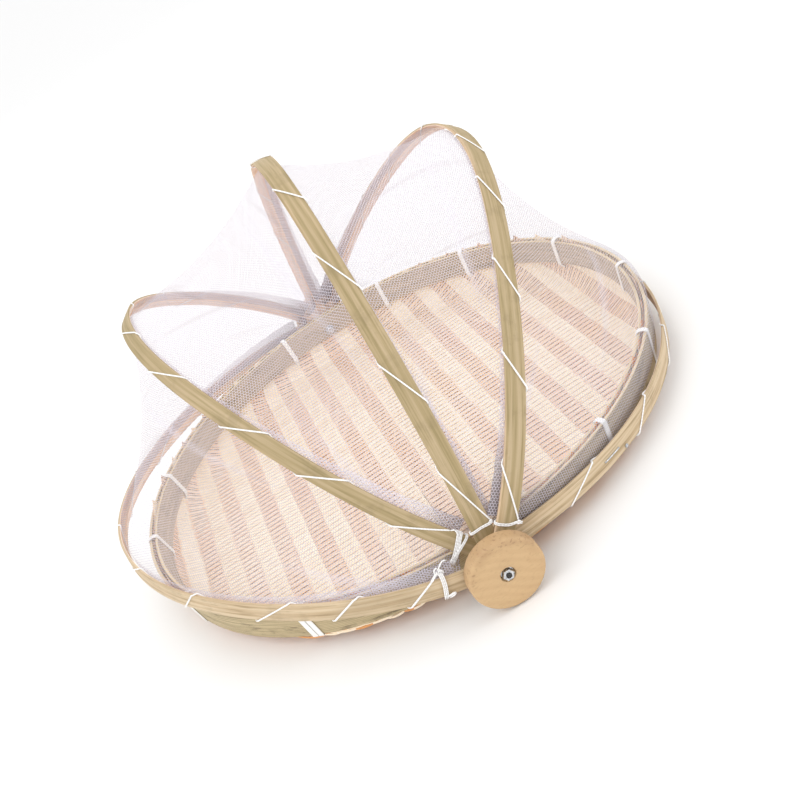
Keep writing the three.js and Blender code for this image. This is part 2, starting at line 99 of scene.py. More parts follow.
class Value:
    """A number or vector socket of a node tree that can be used in Python expressions."""

    __add__ = __radd__ = operator("ADD", "Adds.")
    __sub__ = operator("SUBTRACT", "Takes the other from this.")
    __rsub__ = operator("SUBTRACT", "Takes this from the other.", reflected=True)
    __mul__ = __rmul__ = operator("MULTIPLY", "Multiplies.")
    __truediv__ = operator("DIVIDE", "Divides this by the other.")
    __pow__ = operator("POWER", "Raises this to a power.")
    __lt__ = operator("LESS_THAN", "Gives 1 where this is the smaller one.")
    least = operator("MINIMUM", "Gives the smaller of the two.")
    most = operator("MAXIMUM", "Gives the greater of the two.")
    wrap = operator("FLOORED_MODULO", "Gives what is left over whole lengths, never below zero.")
    sin = operator("SINE", "Gives the sine of an angle in radians.")
    cos = operator("COSINE", "Gives the cosine of an angle in radians.")
    root = operator("SQRT", "Gives the square root.")
    size = operator("ABSOLUTE", "Gives the number without its sign.")
    nearest = operator("ROUND", "Gives the nearest whole number.")

    def __init__(self, book: "NodeBook", socket: bpy.types.NodeSocket) -> None:
        """Keeps the socket and the tree that it is in."""
        self.book = book
        self.socket = socket

    def clamp(self, low: float = 0.0, high: float = 1.0) -> "Value":
        """Keeps this between two numbers."""
        return self.most(low).least(high)

    def ramp(self, low: float, high: float) -> "Value":
        """Rises smoothly from 0 to 1 between two numbers."""
        inputs = {"Value": self, "From Min": low, "From Max": high}
        return self.book.add("ShaderNodeMapRange", inputs, interpolation_type="SMOOTHSTEP")

    def parts(self) -> list["Value"]:
        """Gives the three numbers of a vector."""
        node = self.book.node("ShaderNodeSeparateXYZ", {0: self})
        return [Value(self.book, node.outputs[i]) for i in range(3)]


class NodeBook:
    """One node tree, of a material or of Geometry Nodes, to which nodes are added by type."""

    def __init__(self, tree: bpy.types.NodeTree) -> None:
        """Empties the tree."""
        self.tree = tree
        tree.nodes.clear()

    def feed(self, node: bpy.types.Node, inputs: dict[int | str, object]) -> None:
        """Links values to a node's sockets by name or number, or sets their plain numbers and colours.

        Args:
            node: The node.
            inputs: Values, which are linked, or plain numbers and colours, by socket name or number.
        """
        for key, value in inputs.items():
            if isinstance(value, Value):
                self.tree.links.new(value.socket, node.inputs[key])
            else:
                node.inputs[key].default_value = value

    def node(self, kind: str, inputs: dict | None = None, **settings: object) -> bpy.types.Node:
        """Adds any node.

        Args:
            kind: The node's type.
            inputs: Values or links by socket name or number.
            settings: The node's own settings, which are set first.

        Returns:
            The new node.
        """
        node = self.tree.nodes.new(kind)
        for name, value in settings.items():
            setattr(node, name, value)
        self.feed(node, inputs or {})
        return node

    def add(self, kind: str, inputs: dict | None = None, output: int | str = 0, **settings: object) -> Value:
        """Adds any node and gives one of its outputs as a value."""
        return Value(self, self.node(kind, inputs, **settings).outputs[output])

    def vector(self, x: Value | float, y: Value | float, z: Value | float) -> Value:
        """Makes a vector of three numbers."""
        return self.add("ShaderNodeCombineXYZ", {0: x, 1: y, 2: z})

    def read(self, attribute: str, output: str = "Fac") -> Value:
        """Reads a mesh's own attribute."""
        return self.add("ShaderNodeAttribute", attribute_name=attribute, output=output)

    def flat(self, uv_name: str) -> list[Value]:
        """Gives the two flat coordinates of a UV map, and a third number that isn't used."""
        return self.add("ShaderNodeUVMap", uv_map=uv_name).parts()

    def mix(self, share: Value | float, first: Value | str, second: Value | str) -> Value:
        """Mixes two colours, given as values or six-digit codes, by a share of the second."""
        ends = [srgb(colour) if isinstance(colour, str) else colour for colour in (first, second)]
        return self.add("ShaderNodeMix", {0: share, 6: ends[0], 7: ends[1]}, output=2, data_type="RGBA")

    def noise(
        self, place: Value | tuple, detail: float = 3.0, rough: float = 0.55, scale: float = 1.0,
    ) -> Value:
        """Adds a noise.

        Args:
            place: Where it is read: a vector, or three numbers that become one.
            detail: How many finer noises are laid over it.
            rough: How strong these are.
            scale: Its fineness.

        Returns:
            The noise's strength.
        """
        vector = self.vector(*place) if isinstance(place, tuple) else place
        inputs = {"Vector": vector, "Scale": scale, "Detail": detail, "Roughness": rough}
        return self.add("ShaderNodeTexNoise", inputs)

    def bump(self, height: Value, depth: float, strength: float = 0.6) -> Value:
        """Makes a normal from a height map of the given depth in metres."""
        return self.add("ShaderNodeBump", {"Height": height, "Distance": depth, "Strength": strength})


# Finishes

class Finish:
    """A procedural finish that makes its material once."""

    name: str

    def material(self) -> bpy.types.Material:
        """Gives the finish's material, made at its first use.

        Returns:
            The material.
        """
        made = bpy.data.materials.get(self.name)
        if made is None:
            made = bpy.data.materials.new(self.name)
            made.use_nodes = True
            book = NodeBook(made.node_tree)
            surface = book.node("ShaderNodeBsdfPrincipled")
            output = book.node("ShaderNodeOutputMaterial")
            made.node_tree.links.new(surface.outputs[0], output.inputs[0])
            book.feed(surface, {name.replace("_", " "): value for name, value in self.paint(book).items()})
        return made

    def paint(self, book: NodeBook) -> dict[str, object]:
        """Gives what feeds the shader's sockets, named with underscores for spaces."""
        raise NotImplementedError


@dataclass(frozen=True)
class BambooFinish(Finish):
    """Split bamboo: fibres along the strip, with darker streaks and mottles.

    The strip's own UV map gives metres along it and across it.
    """

    name: str
    pale: str
    middle: str
    dark: str
    streaks: float = 0.5
    mottles: float = 0.0
    mottle: str = "5b5238"
    gloss: float = 0.45
    seed: float = 0.0
    rib: float = 0.0
    rib_tone: str = "8f8156"
    cracks: float = 0.45

    def paint(self, book: NodeBook) -> dict[str, object]:
        """Paints streaks along the fibres, fine pores and broad mottles, and a darker rib along one edge.

        Args:
            book: The material's nodes.

        Returns:
            What feeds the shader's sockets.
        """
        along, across, _ = book.flat("grain")
        along = along + self.seed

        def fibres(fine_along: float, fine_across: float, shift: float, *details: float) -> Value:
            """Adds a noise that is drawn out along the strip."""
            return book.noise((along * fine_along, across * fine_across, self.seed + shift), *details)

        long_streaks = fibres(12.0, 1700.0, 0.0, 4.0)
        fine = fibres(40.0, 3000.0, 3.0, 2.0)
        broad = fibres(14.0, 110.0, 7.0)
        blotch = fibres(55.0, 160.0, 11.0, 5.0, 0.7)
        colour = book.mix(long_streaks.ramp(0.36, 0.62), self.pale, self.middle)
        streak = ((fine - 0.5) * 1.1 + long_streaks).ramp(0.54, 0.8) * self.streaks
        colour = book.mix(streak, colour, self.dark)
        colour = book.mix(broad.ramp(0.5, 0.72) * 0.35, colour, self.dark)
        vein = fibres(7.0, 1100.0, 23.0)
        crack = (1 - (vein - 0.5).size() / 0.014).clamp() * blotch.ramp(0.42, 0.56) * self.cracks
        colour = book.mix(crack, colour, self.mottle)
        if self.rib:
            wander = book.noise((along * 5.0, 0.0, self.seed + 17.0), 2.0)
            border = across - (wander - 0.5) * 0.009 - self.rib
            zone = (1 - border.ramp(-0.0009, 0.0009)) * (0.35 + long_streaks * 0.6)
            colour = book.mix(zone, colour, self.rib_tone)
            line = (1 - border.size() / 0.0003).clamp() * broad.ramp(0.4, 0.6) * 0.6
            colour = book.mix(line, colour, self.dark)
        if self.mottles:
            colour = book.mix(blotch.ramp(0.53, 0.68) * self.mottles, colour, self.mottle)
        rough = 0.42 + fine * 0.25 + (1 - self.gloss) * 0.2
        return dict(Base_Color=colour, Roughness=rough, Normal=book.bump(fine + long_streaks * 0.6, 0.00012))


@dataclass(frozen=True)
class SplitWeaveFinish(Finish):
    """The dry splits of the woven mat, each of its own tone, with the orange rind below.

    In every second column the strips are rosy, and the gaps beside the narrow splits show dark there.
    """

    name: str
    pale: str = "fdf1dc"
    dark: str = "f1dcbb"
    rosy: str = "f5dcc7"
    rosy_dark: str = "e2b799"
    golden: str = "f3cb9c"
    under: str = "d8924c"
    # The colour of the painted shade beside the narrow splits
    gap: str = "643a26"
    fleck: str = "fffaf0"
    gap_shade_lines: bool = False
    pair: float = 0.0048
    split: float = 0.00135
    gap_width: float = 0.0004

    def paint(self, book: NodeBook) -> dict[str, object]:
        """Paints the fibres, the tone of each split and the gaps.

        Args:
            book: The material's nodes.

        Returns:
            What feeds the shader's sockets.
        """
        along, across, tone = book.read("fibre", "Vector").parts()
        under, column = book.read("underside"), book.read("rosy")
        fine = book.noise((along * 40.0, across * 5200.0, tone * 40.0))
        broad = book.noise((along * 18.0, across * 300.0, tone * 70.0), 2.0)
        patch = book.noise((along * 12.0, across * 12.0, 0.0), 2.0)
        share = (tone * 0.6 + (fine - 0.5) * 1.3 + (broad - 0.5) * 0.8).clamp()
        cream = book.mix(share, self.pale, self.dark)
        rose = book.mix(share, self.rosy, self.rosy_dark)
        warm = book.noise((along * 17.0, across * 7.0, 9.0), 2.0)
        rose = book.mix(warm.ramp(0.46, 0.6) * 0.6, rose, self.golden)
        colour = book.mix(column * (0.45 + patch.ramp(0.3, 0.7) * 0.55), cream, rose)
        chip = book.noise((along * 420.0, across * 130.0, 5.0), 2.0)
        colour = book.mix(chip.ramp(0.6, 0.7) * 0.55, colour, self.fleck)
        # Painted shade: dark lines on the slats beside each narrow split, strongest in the rosy columns and broken
        # up by the chip noise
        if self.gap_shade_lines:
            beside = ((along / self.pair - 0.25).wrap(1.0) - 0.5).size() * self.pair
            line = (beside - self.split / 2 - self.gap_width * 0.5).size() / self.gap_width
            darken_share = 1 - chip.ramp(0.42, 0.62) * (0.95 - column * 0.6)
            dark = ((1 - line) * 1.5).clamp() * (0.3 + column * 0.7) * darken_share
            colour = book.mix(dark, colour, self.gap)
        colour = book.mix(under.ramp(0.4, 0.6) * (0.45 + tone * 0.5), colour, self.under)
        return dict(Base_Color=colour, Roughness=0.55 + fine * 0.3, Normal=book.bump(fine, 0.0001))


@dataclass(frozen=True)
class TurnedWoodFinish(Finish):
    """Pale turned wood of the discs, its grain curved across the face."""

    name: str = "disc_wood"
    pale: str = "cbaa7e"
    middle: str = "b8916a"
    dark: str = "876243"
    height: float = 0.02

    def paint(self, book: NodeBook) -> dict[str, object]:
        """Paints growth rings, fine pores and a worn rim.

        Args:
            book: The material's nodes.

        Returns:
            What feeds the shader's sockets.
        """
        x, y, z = book.add("ShaderNodeTexCoord", output="Object").parts()
        warp = book.noise((x * 25.0, y * 8.0, z * 25.0))
        ring = ((x + 0.06) ** 2.0 + (z + 0.075) ** 2.0).root() + warp * 0.006
        rings = (ring * 1300.0 + warp * 9.0).sin() * 0.5 + 0.5
        fine = book.noise((x * 300.0, y * 300.0, z * 2400.0), 2.0)
        broad = book.noise((x * 70.0, y * 40.0, z * 70.0))
        specks = book.noise((x * 500.0, y * 500.0, z * 900.0), 2.0)
        reach = (x * x + (z - self.height) ** 2.0).root()
        darken_share = reach.ramp(0.012, 0.0185) * z.ramp(self.height, self.height + 0.01)
        colour = book.mix(rings.ramp(0.1, 0.95) * 0.2, self.pale, self.middle)
        colour = book.mix(fine.ramp(0.58, 0.8) * 0.22, colour, self.dark)
        colour = book.mix(broad.ramp(0.5, 0.8) * 0.3, colour, self.middle)
        colour = book.mix(specks.ramp(0.54, 0.7) * (0.1 + darken_share * 0.4), colour, self.dark)
        colour = book.mix(darken_share * broad.ramp(0.3, 0.6) * 0.3, colour, self.dark)
        relief = fine + rings * 0.2
        return dict(Base_Color=colour, Roughness=0.46 + fine * 0.2, Normal=book.bump(relief, 0.00008))


@dataclass(frozen=True)
class SteelFinish(Finish):
    """Bright plated steel with faint scratches."""

    name: str = "plated_steel"

    def paint(self, book: NodeBook) -> dict[str, object]:
        """Paints plating with small dull spots.

        Args:
            book: The material's nodes.

        Returns:
            What feeds the shader's sockets.
        """
        cloud = book.noise(book.add("ShaderNodeTexCoord", output="Object"), 4.0, scale=900.0)
        colour = book.mix(cloud.ramp(0.35, 0.75), "dfe1e4", "9fa3a8")
        rough = 0.16 + cloud * 0.22
        return dict(Base_Color=colour, Metallic=1.0, Roughness=rough, Normal=book.bump(cloud, 0.00003))


@dataclass(frozen=True)
class ThreadFinish(Finish):
    """Dark oiled steel at the cut end of a bolt."""

    name: str = "dark_thread"

    def paint(self, book: NodeBook) -> dict[str, object]:
        """Paints a dull dark metal.

        Args:
            book: The material's nodes.

        Returns:
            What feeds the shader's sockets.
        """
        cloud = book.noise(book.add("ShaderNodeTexCoord", output="Object"), scale=1500.0)
        colour = book.mix(cloud.ramp(0.4, 0.7), "2c2a28", "66625e")
        return dict(Base_Color=colour, Metallic=0.7, Roughness=0.4 + cloud * 0.3)


@dataclass(frozen=True)
class StrapFinish(Finish):
    """Flat white plastic strap, ribbed along its length."""

    name: str = "strap_plastic"
    rib: float = 0.0008

    def paint(self, book: NodeBook) -> dict[str, object]:
        """Paints fine ribs and a little dust.

        Args:
            book: The material's nodes.

        Returns:
            What feeds the shader's sockets.
        """
        along, across, _ = book.flat("grain")
        ribs = (across * (2 * math.pi / self.rib)).sin() * 0.5 + 0.5
        dust = book.noise((along * 400.0, across * 400.0, 0.0))
        colour = book.mix(dust.ramp(0.45, 0.8) * 0.35, "fafaf8", "dcdad2")
        return dict(Base_Color=colour, Roughness=0.34 + dust * 0.2, Normal=book.bump(ribs, 0.00006))


@dataclass(frozen=True)
class CordFinish(Finish):
    """Thin white twisted cord."""

    name: str = "twisted_cord"
    lay: float = 0.0016

    def paint(self, book: NodeBook) -> dict[str, object]:
        """Paints the strands of the twist.

        Args:
            book: The material's nodes.

        Returns:
            What feeds the shader's sockets.
        """
        along, around, _ = book.flat("grain")
        strands = ((along / self.lay + around * 2.0) * (2 * math.pi)).sin() * 0.5 + 0.5
        fluff = book.noise((along * 3000.0, around * 9.0, 0.0), 2.0)
        # The grooves between the strands, where the bump is low, are darkened as painted shade; the fluff adds a
        # little random grey
        colour = book.mix((1 - strands) * 0.35 + fluff * 0.12, "ffffff", "c9c6c4")
        return dict(Base_Color=colour, Roughness=0.72 + fluff * 0.15, Normal=book.bump(strands, 0.00012, 0.8))


@dataclass(frozen=True)
class NetFinish(Finish):
    """Fine white hexagonal net: threads round open six-sided holes, which look dark where it is gathered."""

    name: str = "hexagon_net"
    period: float = 0.0016
    thread: float = 0.105
    fade: float = 0.07
    tone: str = "dcd7e3"
    # The colour of the painted shade that fills the holes where the net is gathered. It stands for the shaded
    # layers behind.
    deep: str = "7f777a"

    def paint(self, book: NodeBook) -> dict[str, object]:
        """Opens the holes through the alpha, on the net's own flat coordinates.

        Args:
            book: The material's nodes.

        Returns:
            What feeds the shader's sockets.
        """
        u, v, _ = book.flat("net")
        tall = math.sqrt(3)
        u, v = u / self.period, v / self.period
        cells = []
        for shift in (0.0, 0.5):
            a = (u + shift).wrap(1.0) - 0.5
            b = (v + shift * tall).wrap(tall) - tall / 2
            cells.append((a.size(), b.size(), a * a + b * b))
        (near_a, near_b, near), (far_a, far_b, far) = cells
        nearer = near < far
        a = far_a + (near_a - far_a) * nearer
        b = far_b + (near_b - far_b) * nearer
        edge = a.most(a * 0.5 + b * (tall / 2))
        threads = edge.ramp(0.5 - self.thread, 0.5 - self.thread + self.fade)
        gather_shade = book.read("gather_shade")
        cloud = book.noise((u * 0.35, v * 0.35, 0.0), 2.0)
        # Painted shade: where the net is gathered, its holes are filled with a dark mottled colour
        hole_shade = (gather_shade * (0.65 + cloud * 0.4)).least(0.8)
        fold = book.noise((u * 0.09, v * 0.006, 3.0), 2.0)
        crease = fold.ramp(0.58, 0.72) * 0.3
        colour = book.mix(hole_shade.ramp(0.0, 0.2) * (1 - threads), self.tone, self.deep)
        return dict(Base_Color=colour, Roughness=0.7, Alpha=threads.most(hole_shade.most(crease)),
                    Normal=book.bump(threads, 0.00008))


@dataclass(frozen=True)
class FloorFinish(Finish):
    """Plain pale studio floor."""

    name: str = "studio_floor"
    tone: float = 0.86

    def paint(self, book: NodeBook) -> dict[str, object]:
        """Gives an even matte white."""
        return dict(Base_Color=(self.tone, self.tone, self.tone, 1.0), Roughness=0.9)


SKIN = BambooFinish(
    "hoop_skin", "dfc4a5", "cdb08c", "96815e", streaks=0.75, mottles=0.25, mottle="776848", rib=0.0054)
PALE_SKIN = BambooFinish(
    "pale_hoop_skin", "d3be9e", "c1a885", "907b59", streaks=0.6, mottles=0.2, mottle="7d6a4a", seed=31.0)
FLESH = BambooFinish("hoop_flesh", "fbe8d8", "f2d3bb", "d6ae93", streaks=0.55, seed=2.0)
BAND_SKIN = BambooFinish(
    "band_skin", "cbb892", "b1a07a", "7a6a4e", streaks=0.8, mottles=0.6, mottle="574a36", cracks=0.8, seed=5.0)
BAND_EDGE = BambooFinish("band_edge", "ecd9b6", "dcc69e", "ad9569", streaks=0.4, seed=8.0)
INNER_SKIN = BambooFinish("inner_band_skin", "cdbca8", "b8a791", "8b7b68", streaks=0.6, mottles=0.3, seed=12.0)
SPLITS = SplitWeaveFinish("woven_splits")
SLATS = SplitWeaveFinish("woven_slats", gap_shade_lines=True)
DISC_WOOD, STEEL, THREAD, STRAP = TurnedWoodFinish(), SteelFinish(), ThreadFinish(), StrapFinish()
CORD, NET = CordFinish(), NetFinish()

# Where each hoop's cord starts and ends its crossings of the outer face, in degrees from the near pivot
CROSSINGS = {
    "fixed_rim_hoop": ((15.4, 22.2), (34.6, 39.8), (54.0, 61.0), (73.0, 80.0), (92.0, 99.0), (111.0, 118.0),
                       (130.0, 137.0), (149.0, 157.0)),
    "bow_left": ((8.8, 17.6), (27.6, 35.3), (44.2, 52.4), (64.4, 72.9), (82.5, 90.0), (101.0, 108.0),
                 (120.0, 127.0), (139.0, 146.0), (158.0, 165.5)),
    "bow_top": ((6.6, 16.8), (28.0, 36.6), (50.7, 60.5), (72.4, 78.5), (94.0, 101.5), (116.0, 123.0),
                (138.0, 145.5), (160.0, 167.5)),
    "bow_right": ((6.9, 14.4), (27.6, 32.6), (43.5, 50.2), (62.1, 68.7), (77.2, 83.2), (96.0, 102.0),
                  (114.0, 121.0), (133.0, 140.0), (152.0, 160.0)),
    "lift_hoop": ((10.7, 15.0), (23.3, 27.8), (35.6, 42.8), (56.5, 60.5), (75.0, 82.0), (94.0, 101.0),
                  (113.0, 120.0), (132.0, 139.0), (151.0, 159.0)),
}


# Meshes

def link(name: str, data: bpy.types.ID | None) -> bpy.types.Object:
    """Adds an object with its data to the scene."""
    made = bpy.data.objects.new(name, data)
    bpy.context.scene.collection.objects.link(made)
    return made


def make_piece(
    name: str,
    points: np.ndarray,
    faces: Sequence[Sequence[int]],
    finishes: Sequence[Finish],
    uv: Sequence[Sequence[tuple[float, float]]] | None = None,
    uv_name: str = "grain",
    sides: Sequence[int] | None = None,
    smooth: bool = True,
) -> bpy.types.Object:
    """Makes one mesh object.

    Args:
        name: The piece's name.
        points: Its points in millimetres.
        faces: Indexes of each face's points.
        finishes: Its finishes, in the order of its slots.
        uv: The flat coordinates of each face's corners, in metres.
        uv_name: The name of the UV map.
        sides: The slot of each face.
        smooth: Whether its faces shade smoothly.

    Returns:
        The object, which sits at the origin.
    """
    mesh = bpy.data.meshes.new(name)
    mesh.from_pydata([tuple(p) for p in np.asarray(points, float) * MM], [], [tuple(f) for f in faces])
    for finish in finishes:
        mesh.materials.append(finish.material())
    if uv is not None:
        layer = mesh.uv_layers.new(name=uv_name)
        layer.data.foreach_set("uv", np.asarray([c for face in uv for c in face], np.float32).ravel())
    if sides is not None:
        mesh.polygons.foreach_set("material_index", list(sides))
    mesh.polygons.foreach_set("use_smooth", [smooth] * len(mesh.polygons))
    mesh.validate()
    mesh.update()
    return link(name, mesh)


def store(piece: bpy.types.Object, name: str, values: np.ndarray) -> None:
    """Stores a number or a vector at each point of a piece."""
    kind, key = ("FLOAT_VECTOR", "vector") if values.ndim == 2 else ("FLOAT", "value")
    layer = piece.data.attributes.new(name, kind, "POINT")
    layer.data.foreach_set(key, values.astype(np.float32).ravel())


def travelled(line: np.ndarray) -> np.ndarray:
    """Gives how far along a line of points each one is."""
    return np.concatenate([[0.0], np.cumsum(np.linalg.norm(np.diff(line, axis=0), axis=1))])


def squares(rows: int, columns: int, turned: bool = False) -> list[list[tuple[int, int]]]:
    """Gives the corners of each square of a grid, as (row, column), in one of the two ways round."""
    order = [(0, 0), (1, 0), (1, 1), (0, 1)] if turned else [(0, 0), (0, 1), (1, 1), (1, 0)]
    return [[(i + a, j + b) for a, b in order] for i in range(rows) for j in range(columns)]


def flat_grid(u: np.ndarray, v: np.ndarray) -> np.ndarray:
    """Lays the flat coordinates of a grid's points together, moved along so that none is below zero."""
    return np.stack(np.broadcast_arrays(1 + u, v), axis=-1)


def sweep(
    rings: np.ndarray, lengths: np.ndarray | None = None, closed: bool = True,
) -> tuple[np.ndarray, list, list]:
    """Joins rings of points into a tube, whose ends are closed unless the last ring joins the first.

    Args:
        rings: An array of ring, point and coordinate.
        lengths: How far along the piece each ring is, in metres.
        closed: Whether the last ring joins the first.

    Returns:
        The points, the faces and the flat coordinates of their corners.
    """
    count, around, _ = rings.shape
    lengths = np.arange(count) * MM if lengths is None else lengths
    girth = np.linalg.norm(np.roll(rings, -1, axis=1)[0] - rings[0], axis=1) * MM
    across = np.concatenate([[0.0], np.cumsum(girth)])
    faces, uv = [], []
    for i in range(count if closed else count - 1):
        j = (i + 1) % count
        end = lengths[j] if j else lengths[-1] + (lengths[1] - lengths[0])
        for k in range(around):
            m = (k + 1) % around
            faces.append((i * around + k, j * around + k, j * around + m, i * around + m))
            here, low, high = lengths[i], across[k], across[k + 1]
            uv.append(((here, low), (end, low), (end, high), (here, high)))
    if not closed:
        last = (count - 1) * around
        faces.append(tuple(range(around)))
        faces.append(tuple(last + k for k in reversed(range(around))))
        uv.append([(lengths[0], a) for a in across[:around]])
        uv.append([(lengths[-1], a) for a in reversed(across[:around])])
    return rings.reshape(-1, 3), faces, uv


def joined(parts: Iterable[tuple[np.ndarray, list, list]]) -> tuple[np.ndarray, list, list]:
    """Puts the points, faces and flat coordinates of several meshes together.

    Args:
        parts: The points, faces and flat coordinates of each mesh.

    Returns:
        Those of all of them as one mesh.
    """
    points, faces, uv, start = [], [], [], 0
    for some, corners, flat in parts:
        points.append(some)
        faces += [tuple(k + start for k in face) for face in corners]
        uv += flat
        start += len(some)
    return np.vstack(points), faces, uv


def rounded(width: float, height: float, radius: float, steps: int = 3, across: int = 4) -> np.ndarray:
    """Gives the outline of a flat bar with rounded corners.

    Args:
        width: Its width, half to each side of zero.
        height: Its height, counted from zero.
        radius: The radius of its corners.
        steps: The number of steps round a corner.
        across: The number of steps across its wide faces.

    Returns:
        The points, counted from the corner below on the right.
    """
    corners = []
    for cx, cy, start in ((1, 0, -90), (1, 1, 0), (-1, 1, 90), (-1, 0, 180)):
        for i in range(steps + 1):
            turn = math.radians(start + 90 * i / steps)
            x = cx * (width / 2 - radius) + radius * math.cos(turn)
            y = (height - radius if cy else radius) + radius * math.sin(turn)
            corners.append((x, y))
    outline: list[tuple[float, float]] = []
    for (x, y), after in zip(corners, corners[1:] + corners[:1]):
        outline.append((x, y))
        if abs(after[0] - x) > width / 2:
            outline += [(x + (after[0] - x) * k / across, y) for k in range(1, across)]
    return np.array(outline)


def lathe(outline: Iterable[tuple[float, float]], segments: int) -> tuple[np.ndarray, list]:
    """Turns a closed outline of (radius, height) about Z.

    Args:
        outline: The outline.
        segments: The number of steps round.

    Returns:
        The points and the faces.
    """
    profile = np.array(list(outline))
    turn = np.linspace(0, 2 * math.pi, segments, endpoint=False)
    rings = np.stack([
        np.outer(np.cos(turn), profile[:, 0]),
        np.outer(np.sin(turn), profile[:, 0]),
        np.tile(profile[:, 1], (segments, 1)),
    ], axis=-1)
    return sweep(rings)[:2]


def cleaned(piece: bpy.types.Object) -> bpy.types.Object:
    """Merges doubled points and turns every face outwards.

    Args:
        piece: The piece to clean.

    Returns:
        The same piece.
    """
    work = bmesh.new()
    work.from_mesh(piece.data)
    bmesh.ops.remove_doubles(work, verts=work.verts, dist=1e-6)
    bmesh.ops.dissolve_degenerate(work, edges=work.edges, dist=1e-7)
    bmesh.ops.recalc_face_normals(work, faces=work.faces)
    work.to_mesh(piece.data)
    work.free()
    return piece


def grow(
    name: str, sizes: dict[str, float], build: Callable[[NodeBook, dict[str, Value]], Value], finish: Finish,
) -> bpy.types.Object:
    """Makes a Geometry Nodes tree, runs it once and keeps its mesh as a piece.

    Args:
        name: The name of the tree and the piece.
        sizes: The tree's inputs by name, with their values.
        build: Makes the nodes and gives the geometry.
        finish: The finish that the tree sets.

    Returns:
        The piece.
    """
    tree = bpy.data.node_groups.new(name, "GeometryNodeTree")
    keys = {}
    for label, value in sizes.items():
        kind = "NodeSocketInt" if isinstance(value, int) else "NodeSocketFloat"
        keys[label] = tree.interface.new_socket(name=label, in_out="INPUT", socket_type=kind).identifier
    tree.interface.new_socket(name="Geometry", in_out="OUTPUT", socket_type="NodeSocketGeometry")
    book = NodeBook(tree)
    entry = book.node("NodeGroupInput")
    result = build(book, {label: Value(book, entry.outputs[label]) for label in sizes})
    shown = book.add("GeometryNodeSetMaterial", {"Geometry": result, "Material": finish.material()})
    book.node("NodeGroupOutput", {"Geometry": shown})
    seedling = link(name + "_source", bpy.data.meshes.new(name + "_source"))
    modifier = seedling.modifiers.new("grow", "NODES")
    modifier.node_group = tree
    for label, value in sizes.items():
        modifier[keys[label]] = value
    graph = bpy.context.evaluated_depsgraph_get()
    mesh = bpy.data.meshes.new_from_object(
        seedling.evaluated_get(graph), preserve_all_data_layers=True, depsgraph=graph)
    mesh.name = name
    seedling.modifiers.clear()
    bpy.data.objects.remove(seedling)
    return link(name, mesh)


def settle(piece: bpy.types.Object, body: str, slot: str, *nodes: str) -> None:
    """Rides a finished piece on its body, in place of its nodes.

    Args:
        piece: The piece.
        body: The body that carries it.
        slot: The material slot that its faces stand for.
        nodes: The nodes that it takes the place of.
    """
    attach(piece, body)
    if nodes:
        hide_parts(*nodes)
    LOG.info("%s: %d faces on %s", piece.name, len(piece.data.polygons), body)


def net_piece(
    name: str, layers: Sequence[tuple[np.ndarray, np.ndarray]], gather_shade: np.ndarray, turned: bool = False,
) -> bpy.types.Object:
    """Makes a piece of net.

    Args:
        name: The piece's name.
        layers: The points of each layer in millimetres and their flat coordinates in metres, as grids.
        gather: How closely the net is gathered at each point, from 0 to 1.
        turned: Whether its faces turn the other way round.

    Returns:
        The piece.
    """
    parts = []
    for grid, flat in layers:
        rows, columns, _ = grid.shape
        corners = squares(rows - 1, columns - 1, turned)
        faces = [[i * columns + j for i, j in square] for square in corners]
        uv = [[tuple(flat[place]) for place in square] for square in corners]
        parts.append((grid.reshape(-1, 3), faces, uv))
    points, faces, uv = joined(parts)
    piece = make_piece(name, points, faces, [NET], uv, "net")
    store(piece, "gather_shade", gather_shade.ravel())
    return piece


# Sub-assemblies

